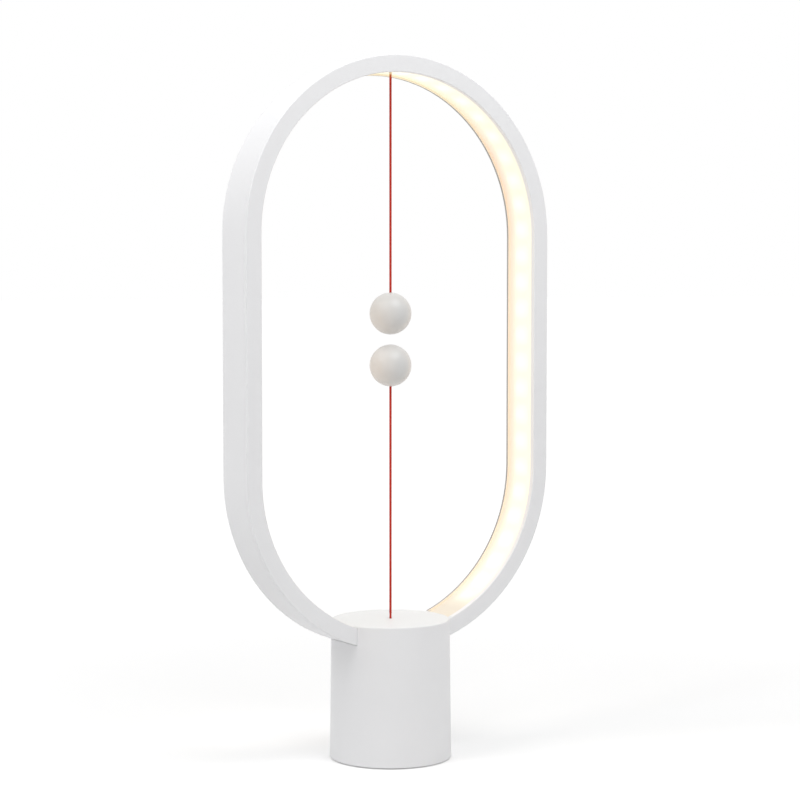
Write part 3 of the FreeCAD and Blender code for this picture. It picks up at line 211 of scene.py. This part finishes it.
def length_of(tree, first, second):
    """The length of a line with those two sides."""
    squared = calc(tree, "MULTIPLY_ADD", first, first, calc(tree, "MULTIPLY", second, second))
    return calc(tree, "SQRT", squared)


def remap(tree, value, low, high):
    """A value from 0..1 onto low..high."""
    made = tree.nodes.new("ShaderNodeMapRange")
    put(made.inputs["Value"], value)
    made.inputs["To Min"].default_value = low
    made.inputs["To Max"].default_value = high
    return made.outputs["Result"]


def band(tree, value, start, whole):
    """0 up to a start, and smoothly up to 1 where the band is whole."""
    made = tree.nodes.new("ShaderNodeMapRange")
    made.interpolation_type = "SMOOTHSTEP"
    put(made.inputs["Value"], value)
    made.inputs["From Min"].default_value = start
    made.inputs["From Max"].default_value = whole
    return made.outputs["Result"]


def mix(tree, factor, first, second):
    """A colour between two colours."""
    made = tree.nodes.new("ShaderNodeMix")
    made.data_type = "RGBA"
    put(made.inputs[MIX_FACTOR], factor)
    put(made.inputs[MIX_FIRST], first)
    put(made.inputs[MIX_SECOND], second)
    return made.outputs[MIX_RESULT]


def shade(colour, factor):
    """A colour made lighter or darker."""
    return tuple(min(1.0, part * factor) for part in colour[:3]) + (1.0,)


def shades(tree, factor, colour, dark, light):
    """A colour between a darker and a lighter shade of one colour."""
    return mix(tree, factor, shade(colour, dark), shade(colour, light))


def place_of(tree):
    """Coordinates in the lamp's frame, in metres, which ride with the piece."""
    return tree.nodes.new("ShaderNodeTexCoord").outputs["Object"]


def normal_of(tree):
    """The way that the surface faces, in the piece's own frame."""
    return tree.nodes.new("ShaderNodeTexCoord").outputs["Normal"]


def axes_of(tree, vector):
    """A vector's X, Y and Z."""
    split = tree.nodes.new("ShaderNodeSeparateXYZ")
    put(split.inputs[0], vector)
    return split.outputs


def stretched(tree, vector, factors):
    """The vector with each axis multiplied: a texture is drawn out along the small ones."""
    made = tree.nodes.new("ShaderNodeVectorMath")
    made.operation = "MULTIPLY"
    put(made.inputs[0], vector)
    made.inputs[1].default_value = factors
    return made.outputs[0]


def noise(tree, vector, scale, detail=2.0, roughness=0.5):
    """Noise from 0 to 1, with its scale in waves a metre."""
    made = tree.nodes.new("ShaderNodeTexNoise")
    put(made.inputs["Vector"], vector)
    made.inputs["Scale"].default_value = scale
    made.inputs["Detail"].default_value = detail
    made.inputs["Roughness"].default_value = roughness
    return made.outputs["Fac"]


def bump(tree, height, strength, distance, under=None):
    """A normal that stands for a relief, which may lie on another one."""
    made = tree.nodes.new("ShaderNodeBump")
    made.inputs["Strength"].default_value = strength
    made.inputs["Distance"].default_value = distance
    put(made.inputs["Height"], height)
    if under:
        put(made.inputs["Normal"], under)
    return made.outputs["Normal"]


def new_material(name):
    """A material, its node tree, and the sockets of its shader."""
    made = bpy.data.materials.new(name)
    made.use_nodes = True
    return made, made.node_tree, made.node_tree.nodes["Principled BSDF"].inputs


def dress(thing, material):
    """Gives an object that material alone."""
    thing.data.materials.clear()
    thing.data.materials.append(material)


# ---------------------------------------------------------------- masks of places on the lamp


def hoop_level(tree, z):
    """The height nearest to a point on the line between the hoop's centres, and how far above."""
    level = calc(tree, "MINIMUM", calc(tree, "MAXIMUM", z, HOOP_LOW_CENTRE), HOOP_TOP_CENTRE)
    return level, calc(tree, "SUBTRACT", z, level)


def shell_marks(tree, place):
    """Masks of where light and shade are painted: the rims' faces beside the lens, the rear rim's
    and the front cover's inner edges, and the base's top."""
    x, y, z = axes_of(tree, place)
    reach = length_of(tree, x, hoop_level(tree, z)[1])
    on_hoop = calc(tree, "GREATER_THAN", z, BASE_HEIGHT)
    depth = calc(tree, "ABSOLUTE", calc(tree, "SUBTRACT", y, LENS_MIDDLE))
    beside = calc(tree, "LESS_THAN", depth, RIM_DEPTH)
    rim = both(tree, both(tree, beside, within(tree, reach, *RIM_REACH)), on_hoop)
    rear = both(tree, calc(tree, "GREATER_THAN", y, LIP_DEPTH), on_hoop)
    lip = both(tree, rear, within(tree, reach, *LIP_REACH))
    front = both(tree, calc(tree, "LESS_THAN", y, EDGE_DEPTH), on_hoop)
    edge = both(tree, front, within(tree, reach, *EDGE_REACH))
    facing_up = calc(tree, "GREATER_THAN", axes_of(tree, normal_of(tree))[2], UPWARD)
    top = both(tree, facing_up, calc(tree, "LESS_THAN", z, BASE_HEIGHT + BASE_TOP_MARGIN))
    return rim, lip, edge, top


def chip_wave(tree, x, z):
    """1 in front of each chip of the strip, and 0 halfway between two."""
    level, above = hoop_level(tree, z)
    turn = calc(tree, "ARCTAN2", calc(tree, "ABSOLUTE", x), above)
    round_run = calc(tree, "MULTIPLY", turn, STRIP_RADIUS)
    run = calc(tree, "ADD", round_run, calc(tree, "SUBTRACT", HOOP_TOP_CENTRE, level))
    phase = calc(tree, "COSINE", calc(tree, "MULTIPLY", run, 2 * math.pi / CHIP_PITCH))
    return calc(tree, "MULTIPLY_ADD", phase, -0.5, 0.5)


def chip_spots(tree, x, z, aside):
    """Soft spots in front of the chips, which fade across the lens towards its edges."""
    squared = calc(tree, "MULTIPLY", aside, aside)
    middle = calc(tree, "MAXIMUM", calc(tree, "MULTIPLY_ADD", squared, -SPOT_FADE, 1.0), 0.0)
    return both(tree, calc(tree, "POWER", chip_wave(tree, x, z), SPOT_SHARPNESS), middle)


# ---------------------------------------------------------------- materials


def moulded_plastic(name, colour, roughness, grain):
    """Matt moulding: spark-eroded grain, slow waviness and faint uneven tone."""
    made, tree, sockets = new_material(name)
    place = place_of(tree)
    tone = noise(tree, place, scale=28.0, detail=3.0)
    speck = noise(tree, place, scale=1.0 / (2 * grain), detail=1.0)
    uneven = blend(tree, speck, tone, share=0.25)
    put(sockets["Base Color"], shades(tree, uneven, colour, dark=0.975, light=1.02))
    put(sockets["Roughness"], remap(tree, tone, low=roughness - 0.06, high=roughness + 0.06))
    waves = noise(tree, place, scale=90.0, detail=1.0)
    wavy = bump(tree, waves, strength=0.25, distance=0.02 * MM)
    grains = noise(tree, place, scale=1.0 / grain, detail=3.0, roughness=0.6)
    put(sockets["Normal"], bump(tree, grains, strength=0.6, distance=0.01 * MM, under=wavy))
    sockets["Specular IOR Level"].default_value = 0.42
    return made


def shell_plastic(name, colour, roughness, grain):
    """The shell's moulding, with painted light and shade. It glows faintly and is warmer where the
    lens's light is painted on the rims beside it, glows with painted light at the front cover's
    inner edge, is darkened by painted shade along the rear rim's inner edge, and has painted shade
    that makes the base's top a little darker and cooler."""
    made = moulded_plastic(name, colour, roughness, grain)
    tree = made.node_tree
    sockets = tree.nodes["Principled BSDF"].inputs
    rim, lip, edge, top = shell_marks(tree, place_of(tree))
    moulded = sockets["Base Color"].links[0].from_socket
    # Painted shade on the base's top and the rear rim's inner edge, and painted light on the rims.
    topped = mix(tree, top, moulded, BASE_TOP_PAINTED_SHADE)
    lipped = mix(tree, lip, topped, LIP_PAINTED_SHADE)
    put(sockets["Base Color"], mix(tree, rim, lipped, RIM_PAINTED_LIGHT))
    # Painted glow: the lens's light on the rims and the front cover's inner edge.
    put(sockets["Emission Color"], RIM_PAINTED_GLOW)
    edge_glow = calc(tree, "MULTIPLY", edge, EDGE_PAINTED_GLOW_STRENGTH)
    put(sockets["Emission Strength"], calc(tree, "MULTIPLY_ADD", rim, RIM_STRENGTH, edge_glow))
    return made


def metal(name, colour, roughness, drawn=(1.0, 1.0, 1.0), fineness=4000.0):
    """Worn metal with fine marks, drawn out along the axes whose factor is small."""
    made, tree, sockets = new_material(name)
    place = place_of(tree)
    marks = noise(tree, stretched(tree, place, drawn), scale=fineness, detail=3.0, roughness=0.6)
    tarnish = noise(tree, place, scale=160.0, detail=3.0)
    put(sockets["Base Color"], shades(tree, tarnish, colour, dark=0.86, light=1.08))
    put(sockets["Roughness"], remap(tree, marks, low=roughness - 0.1, high=roughness + 0.14))
    put(sockets["Normal"], bump(tree, marks, strength=0.35, distance=0.01 * MM))
    sockets["Metallic"].default_value = 1.0
    return made


def turned_metal(name, colour, roughness, ring):
    """Faced metal with the fine rings that a lathe leaves about Z, that far apart."""
    made, tree, sockets = new_material(name)
    place = place_of(tree)
    x, y = axes_of(tree, place)[:2]
    radius = length_of(tree, x, y)
    rings = calc(tree, "SINE", calc(tree, "MULTIPLY", radius, 2 * math.pi / ring))
    blotch = noise(tree, place, scale=220.0, detail=4.0)
    put(sockets["Base Color"], shades(tree, blotch, colour, dark=0.8, light=1.1))
    put(sockets["Roughness"], remap(tree, blotch, low=roughness - 0.08, high=roughness + 0.16))
    put(sockets["Normal"], bump(tree, rings, strength=0.3, distance=0.015 * MM))
    sockets["Metallic"].default_value = 1.0
    return made


def rubber(name, colour):
    """Silicone with dust-fine grain and a soft sheen."""
    made, tree, sockets = new_material(name)
    place = place_of(tree)
    dust = noise(tree, place, scale=420.0, detail=4.0, roughness=0.7)
    put(sockets["Base Color"], shades(tree, dust, colour, dark=0.85, light=1.3))
    put(sockets["Roughness"], remap(tree, dust, low=0.55, high=0.78))
    grains = noise(tree, place, scale=5000.0)
    put(sockets["Normal"], bump(tree, grains, strength=0.4, distance=0.02 * MM))
    sockets["Sheen Weight"].default_value = 0.15
    return made


def circuit(name, mask, track):
    """Solder mask with the tracks that show faintly through it."""
    made, tree, sockets = new_material(name)
    place = place_of(tree)
    cells = tree.nodes.new("ShaderNodeTexBrick")
    put(cells.inputs["Vector"], place)
    cells.inputs["Scale"].default_value = 160.0
    cells.inputs["Mortar Size"].default_value = 0.045
    cells.inputs["Mortar Smooth"].default_value = 0.2
    cells.inputs["Color1"].default_value = mask
    cells.inputs["Color2"].default_value = shade(mask, 0.97)
    cells.inputs["Mortar"].default_value = track
    put(sockets["Base Color"], cells.outputs["Color"])
    put(sockets["Roughness"], remap(tree, noise(tree, place, scale=700.0), low=0.24, high=0.4))
    relief = bump(tree, cells.outputs["Fac"], strength=0.3, distance=0.03 * MM)
    put(sockets["Normal"], relief)
    return made


def phosphor(name):
    """Chip package: white case, with yellow phosphor on the face that looks into the hoop."""
    made, tree, sockets = new_material(name)
    place = place_of(tree)
    y = axes_of(tree, place)[1]
    case = calc(tree, "GREATER_THAN", calc(tree, "ABSOLUTE", y), CHIP_FACE_HALF_WIDTH)
    gel = noise(tree, place, scale=2500.0)
    put(sockets["Base Color"], mix(tree, case, mix(tree, gel, *PHOSPHOR), CHIP_CASE))
    put(sockets["Roughness"], remap(tree, gel, low=0.25, high=0.4))
    return made


def lit_opal(name):
    """Opal lens: warm light from the strip, with a soft spot in front of each chip, other tones
    along its edges, and a dimmer one beyond the strip's ends."""
    made, tree, sockets = new_material(name)
    place = place_of(tree)
    x, y, z = axes_of(tree, place)
    aside = calc(tree, "DIVIDE", calc(tree, "SUBTRACT", y, LENS_MIDDLE), LENS_HALF_WIDTH)
    milk = noise(tree, place, scale=260.0, detail=3.0)
    clouded = blend(tree, milk, chip_spots(tree, x, z, aside), SPOT_MILK_SHARE)
    glow = mix(tree, clouded, LENS_BETWEEN, LENS_SPOT)
    rear = mix(tree, band(tree, z, *LENS_TOP_BAND), LENS_REAR, LENS_REAR_TOP)
    glow = mix(tree, band(tree, aside, *LENS_REAR_BAND), glow, rear)
    glow = mix(tree, band(tree, flipped(tree, aside), *LENS_FRONT_BAND), glow, LENS_FRONT)
    glow = mix(tree, band(tree, flipped(tree, z), *LENS_END_BAND), glow, LENS_END)
    put(sockets["Emission Color"], glow)
    sockets["Emission Strength"].default_value = LENS_STRENGTH
    put(sockets["Base Color"], shades(tree, milk, LENS_BASE, dark=0.97, light=1.03))
    put(sockets["Roughness"], remap(tree, milk, low=0.34, high=0.46))
    grains = noise(tree, place, scale=4000.0)
    put(sockets["Normal"], bump(tree, grains, strength=0.3, distance=0.01 * MM))
    return made


def thread(name, colour):
    """Spun thread: fibres along the strand and uneven dye, paler where it hangs by the lens, with
    the lens's light painted on it below the lens.
    """
    made, tree, sockets = new_material(name)
    place = place_of(tree)
    z = axes_of(tree, place)[2]
    along = stretched(tree, place, (1.0, 1.0, 0.18))
    fibres = noise(tree, along, scale=14000.0, roughness=0.6)
    dye = noise(tree, place, scale=900.0)
    tone = blend(tree, fibres, dye, THREAD_FIBRE_SHARE)
    dyed = shades(tree, tone, colour, dark=0.62, light=1.35)
    # painted light of the lens on the thread below it
    lit = mix(tree, band(tree, z, *THREAD_PAINTED_LIGHT_BAND), dyed, THREAD_PAINTED_LIGHT)
    put(sockets["Base Color"], mix(tree, band(tree, z, *THREAD_TOP_BAND), lit, THREAD_TOP))
    put(sockets["Roughness"], remap(tree, fibres, low=0.7, high=0.9))
    put(sockets["Normal"], bump(tree, fibres, strength=0.5, distance=0.03 * MM))
    sockets["Specular IOR Level"].default_value = 0.12
    sockets["Sheen Weight"].default_value = 0.03
    return made


def wire_jacket(name, colour):
    """Thin PVC jacket, slightly wavy, with scuffs along it."""
    made, tree, sockets = new_material(name)
    place = place_of(tree)
    along = stretched(tree, place, (1.0, 1.0, 0.3))
    scuff = noise(tree, along, scale=1600.0, detail=3.0)
    put(sockets["Base Color"], shades(tree, scuff, colour, dark=0.85, light=1.15))
    put(sockets["Roughness"], remap(tree, scuff, low=0.3, high=0.5))
    waves = noise(tree, place, scale=700.0)
    put(sockets["Normal"], bump(tree, waves, strength=0.3, distance=0.03 * MM))
    return made


# The material of each slot in part.py.
MATERIALS = {
    "shell_plastic": shell_plastic(
        "shell_plastic", (0.83, 0.83, 0.84, 1.0), roughness=0.46, grain=0.16 * MM
    ),
    "ball_plastic": moulded_plastic(
        "ball_plastic", (0.655, 0.65, 0.64, 1.0), roughness=0.3, grain=0.12 * MM
    ),
    "inner_plastic": moulded_plastic(
        "inner_plastic", (0.8, 0.8, 0.79, 1.0), roughness=0.4, grain=0.25 * MM
    ),
    "components": moulded_plastic(
        "components", (0.03, 0.03, 0.035, 1.0), roughness=0.5, grain=0.2 * MM
    ),
    "switch_case": moulded_plastic(
        "switch_case", (0.025, 0.025, 0.028, 1.0), roughness=0.42, grain=0.2 * MM
    ),
    "switch_button": moulded_plastic(
        "switch_button", (0.6, 0.04, 0.03, 1.0), roughness=0.38, grain=0.2 * MM
    ),
    "socket_tongue": moulded_plastic(
        "socket_tongue", (0.02, 0.02, 0.022, 1.0), roughness=0.4, grain=0.2 * MM
    ),
    "diffuser": lit_opal("diffuser"),
    "circuit_board": circuit(
        "circuit_board", mask=(0.84, 0.85, 0.84, 1.0), track=(0.6, 0.62, 0.6, 1.0)
    ),
    "led_chip": phosphor("led_chip"),
    "screw_steel": metal("screw_steel", (0.62, 0.63, 0.66, 1.0), roughness=0.3),
    "ballast_steel": turned_metal(
        "ballast_steel", (0.5, 0.5, 0.52, 1.0), roughness=0.36, ring=0.35 * MM
    ),
    "magnet": metal(
        "magnet", (0.72, 0.72, 0.7, 1.0), roughness=0.2, drawn=(1.0, 1.0, 0.2), fineness=2500.0
    ),
    "socket_steel": metal(
        "socket_steel", (0.66, 0.67, 0.69, 1.0), roughness=0.3, drawn=(1.0, 0.1, 1.0)
    ),
    "brass": metal("brass", (0.78, 0.6, 0.28, 1.0), roughness=0.28),
    "foot_silicone": rubber("foot_silicone", (0.62, 0.62, 0.61, 1.0)),
    "red_cord": thread("red_cord", THREAD),
    "wire_black": wire_jacket("wire_black", (0.02, 0.02, 0.022, 1.0)),
    "wire_red": wire_jacket("wire_red", (0.45, 0.02, 0.018, 1.0)),
}


# ---------------------------------------------------------------- camera and studio


def direction_to(azimuth, elevation):
    """The direction from the lamp to something at that azimuth from the front, and elevation."""
    azimuth = math.radians(azimuth)
    elevation = math.radians(elevation)
    level = math.cos(elevation)
    return Vector((math.sin(azimuth) * level, -math.cos(azimuth) * level, math.sin(elevation)))


def make_camera():
    """The camera, left of the lamp's front and a little above its middle."""
    back = direction_to(CAMERA_AZIMUTH, CAMERA_ELEVATION)
    data = bpy.data.cameras.new("camera")
    data.lens = CAMERA_LENS
    data.sensor_width = CAMERA_SENSOR
    data.shift_x, data.shift_y = CAMERA_SHIFT
    camera = bpy.data.objects.new("camera", data)
    camera.location = CAMERA_TARGET + back * CAMERA_DISTANCE
    camera.rotation_euler = back.to_track_quat("Z", "Y").to_euler()
    bpy.context.scene.collection.objects.link(camera)
    bpy.context.scene.camera = camera


def seen_straight(tree):
    """1 for rays that show the studio as it is: from the camera, a mirror or glass."""
    path = tree.nodes.new("ShaderNodeLightPath").outputs
    mirrored = calc(tree, "MAXIMUM", path["Is Glossy Ray"], path["Is Transmission Ray"])
    return calc(tree, "MAXIMUM", path["Is Camera Ray"], mirrored)


def make_sky():
    """A sky that lights the lamp at its level, and looks white."""
    world = bpy.data.worlds.new("studio")
    bpy.context.scene.world = world
    world.use_nodes = True
    tree = world.node_tree
    light = tree.nodes.new("ShaderNodeBackground")
    light.inputs["Color"].default_value = WHITE
    light.inputs["Strength"].default_value = SKY_LEVEL
    shown = tree.nodes.new("ShaderNodeBackground")
    shown.inputs["Color"].default_value = WHITE
    chooser = tree.nodes.new("ShaderNodeMixShader")
    put(chooser.inputs["Fac"], seen_straight(tree))
    put(chooser.inputs[1], light.outputs[0])
    put(chooser.inputs[2], shown.outputs[0])
    put(tree.nodes["World Output"].inputs["Surface"], chooser.outputs[0])


def make_soft_light(azimuth, elevation, distance, brightness):
    """A square soft light. At a brightness of 1, its face is white."""
    back = direction_to(azimuth, elevation)
    data = bpy.data.lights.new("soft_light", "AREA")
    data.shape = "SQUARE"
    data.size = SOFT_LIGHT_SIDE
    data.energy = brightness * math.pi * SOFT_LIGHT_SIDE ** 2
    light = bpy.data.objects.new("soft_light", data)
    light.location = SOFT_LIGHT_TARGET + back * distance
    light.rotation_euler = back.to_track_quat("Z", "Y").to_euler()
    bpy.context.scene.collection.objects.link(light)


def make_glow(side):
    """One limb's light on what hangs in the hoop. The lens itself is what is seen of it."""
    data = bpy.data.lights.new("lens_glow", "AREA")
    data.shape = "RECTANGLE"
    data.size = GLOW_LENGTH
    data.size_y = GLOW_WIDTH
    data.color = GLOW_COLOUR
    data.energy = GLOW_BRIGHTNESS * math.pi * GLOW_LENGTH * GLOW_WIDTH
    light = bpy.data.objects.new("lens_glow", data)
    light.location = (side * GLOW_ASIDE, 0.0, GLOW_HEIGHT)
    light.rotation_euler = (0.0, math.radians(90 * side), 0.0)
    light.visible_camera = False
    light.visible_glossy = False
    bpy.context.scene.collection.objects.link(light)


def make_floor():
    """Pale floor that looks white where nothing shades it. Its glow is seen, and lights nothing."""
    mesh = bpy.data.meshes.new("floor")
    side = FLOOR_HALF_SIDE
    corners = [(-side, -side, 0), (side, -side, 0), (side, side, 0), (-side, side, 0)]
    mesh.from_pydata(corners, [], [(0, 1, 2, 3)])
    floor = bpy.data.objects.new("floor", mesh)
    bpy.context.scene.collection.objects.link(floor)
    made, tree, sockets = new_material("floor")
    sockets["Base Color"].default_value = FLOOR_COLOUR
    sockets["Roughness"].default_value = FLOOR_ROUGHNESS
    sockets["Specular IOR Level"].default_value = 0.0
    sockets["Emission Color"].default_value = WHITE
    x, y = axes_of(tree, place_of(tree))[:2]
    far = band(tree, length_of(tree, x, y), *FLOOR_FADE)
    glow = remap(tree, far, FLOOR_GLOW_NEAR, FLOOR_GLOW_FAR)
    put(sockets["Emission Strength"], calc(tree, "MULTIPLY", seen_straight(tree), glow))
    dress(floor, made)


# ---------------------------------------------------------------- cords


def route_points(name, points):
    """The points of the smooth line that a route's points steer."""
    data = bpy.data.curves.new(name, "CURVE")
    data.dimensions = "3D"
    data.resolution_u = ROUTE_RESOLUTION
    spline = data.splines.new("NURBS")
    spline.points.add(len(points) - 1)
    for point, place in zip(spline.points, points):
        point.co = (*place, 1.0)
    spline.order_u = 3
    spline.use_endpoint_u = True
    curve = bpy.data.objects.new(name, data)
    bpy.context.scene.collection.objects.link(curve)
    bpy.context.view_layer.update()
    line = bpy.data.meshes.new_from_object(curve)
    found = [vertex.co.copy() for vertex in line.vertices]
    bpy.data.objects.remove(curve)
    bpy.data.curves.remove(data)
    bpy.data.meshes.remove(line)
    return found


def walk(points, spacing):
    """Places evenly spaced along a line of points, each with its distance and direction."""
    lengths = [(after - before).length for before, after in zip(points, points[1:])]
    whole = sum(lengths)
    count = max(2, round(whole / spacing))
    steps = []
    index = 0
    passed = 0.0
    for step in range(count + 1):
        distance = whole * step / count
        while index < len(lengths) - 1 and passed + lengths[index] < distance:
            passed += lengths[index]
            index += 1
        share = (distance - passed) / lengths[index]
        direction = (points[index + 1] - points[index]).normalized()
        steps.append((distance, points[index].lerp(points[index + 1], share), direction))
    return steps


def across(direction):
    """Two directions square to a direction and to each other."""
    aside = Vector((0.0, 1.0, 0.0)).cross(direction).normalized()
    return aside, direction.cross(aside)


def ellipse(centre, wide, high, sides):
    """Points around an ellipse whose half axes are two vectors."""
    turns = [2 * math.pi * side / sides for side in range(sides)]
    return [centre + wide * math.cos(turn) + high * math.sin(turn) for turn in turns]


class Shape:
    """Vertices and faces collected for one mesh."""

    def __init__(self):
        self.vertices = []
        self.faces = []

    def tube(self, rings):
        """Joins rings of points, each as long as the first, into a tube with closed ends."""
        first = len(self.vertices)
        sides = len(rings[0])
        for ring in rings:
            self.vertices.extend(ring)
        for step in range(len(rings) - 1):
            low = first + step * sides
            high = low + sides
            for side in range(sides):
                onward = (side + 1) % sides
                self.faces.append((low + side, low + onward, high + onward, high + side))
        last = first + (len(rings) - 1) * sides
        self.faces.append(tuple(range(first + sides - 1, first - 1, -1)))
        self.faces.append(tuple(range(last, last + sides)))

    def build(self, name, material):
        """The piece that they make, smooth and in that material."""
        mesh = bpy.data.meshes.new(name)
        mesh.from_pydata([tuple(point) for point in self.vertices], [], self.faces)
        mesh.shade_smooth()
        piece = bpy.data.objects.new(name, mesh)
        bpy.context.scene.collection.objects.link(piece)
        dress(piece, material)
        return piece


def strand_rings(steps, way, strand):
    """One strand of the braid: flat, wound one way, and waving over and under the others."""
    start = 2 * math.pi * strand / BRAID_STRANDS
    slope = 2 * math.pi * STRAND_RADIUS / BRAID_LAY * way
    rings = []
    for distance, place, direction in steps:
        aside, upward = across(direction)
        wound = 2 * math.pi * distance / BRAID_LAY
        angle = start + way * wound
        outward = aside * math.cos(angle) + upward * math.sin(angle)
        around = upward * math.cos(angle) - aside * math.sin(angle)
        along = (direction + around * slope).normalized()
        flat = along.cross(outward).normalized()
        wave = STRAND_WAVE * way * math.cos(BRAID_STRANDS * wound)
        centre = place + outward * (STRAND_RADIUS + wave)
        wide = flat * STRAND_HALF_WIDTH
        rings.append(ellipse(centre, wide, outward * STRAND_HALF_THICKNESS, STRAND_SIDES))
    return rings


def braid(points):
    """The shape of a round braid along a line of points."""
    shape = Shape()
    steps = walk(points, BRAID_STEP)
    core = []
    for _, place, direction in steps:
        aside, upward = across(direction)
        core.append(ellipse(place, aside * CORE_RADIUS, upward * CORE_RADIUS, CORE_SIDES))
    shape.tube(core)
    for way in (-1, 1):
        for strand in range(BRAID_STRANDS):
            shape.tube(strand_rings(steps, way, strand))
    return shape


def ball_rings(height):
    """Rings of the round core that fills a bend at a height on the axis, from below to above."""
    rings = []
    for step in range(1, BEND_RINGS + 1):
        polar = math.pi * step / (BEND_RINGS + 1)
        centre = Vector((0.0, 0.0, height - BEND_RADIUS * math.cos(polar)))
        radius = BEND_RADIUS * math.sin(polar)
        wide = Vector((radius, 0.0, 0.0))
        rings.append(ellipse(centre, wide, Vector((0.0, radius, 0.0)), BEND_SIDES))
    return rings


def stand_in(piece, node, body):
    """Puts a piece in the place of a node."""
    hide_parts(node)
    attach(piece, body)


def make_cord(name, node, body, lay):
    """Braided cord on a straight route, hanging or pulled tight from its exit on the axis."""
    low, high = (corner.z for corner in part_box(node))
    if lay == "hanging":
        start, end, lead = high, low, -CORD_LEAD
    else:
        start, end, lead = low, high, CORD_LEAD
    heights = (start, start + lead, end - lead, end)
    points = route_points(name + "_route", [Vector((0.0, 0.0, height)) for height in heights])
    cord = braid(points).build(name, MATERIALS["red_cord"])
    stand_in(cord, node, body)


def make_bend(name, node, body):
    """The cord's short bend at its outlet: a little braid about a core that keeps it round."""
    low, high = (corner.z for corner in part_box(node))
    shape = braid([Vector((0.0, 0.0, height)) for height in (low, high)])
    shape.tube(ball_rings((low + high) / 2))
    stand_in(shape.build(name, MATERIALS["red_cord"]), node, body)


# ---------------------------------------------------------------- making

make_camera()
make_cord("upper_braided_cord", "upper_cord", "upper_pendulum", "hanging")
make_cord("lower_braided_cord", "lower_cord", "lower_pendulum", "taut")
make_bend("upper_cord_turn", "upper_cord_bend", "upper_bend")
make_bend("lower_cord_turn", "lower_cord_bend", "lower_bend")

for part in frame["record"]["subparts"]:
    dress(frame["nodes"][part["node"]], MATERIALS[part["material_slot"]])

make_sky()
for soft_light in SOFT_LIGHTS:
    make_soft_light(**soft_light)
for limb in (-1, 1):
    make_glow(limb)
make_floor()
bpy.context.scene.view_settings.view_transform = "Standard"
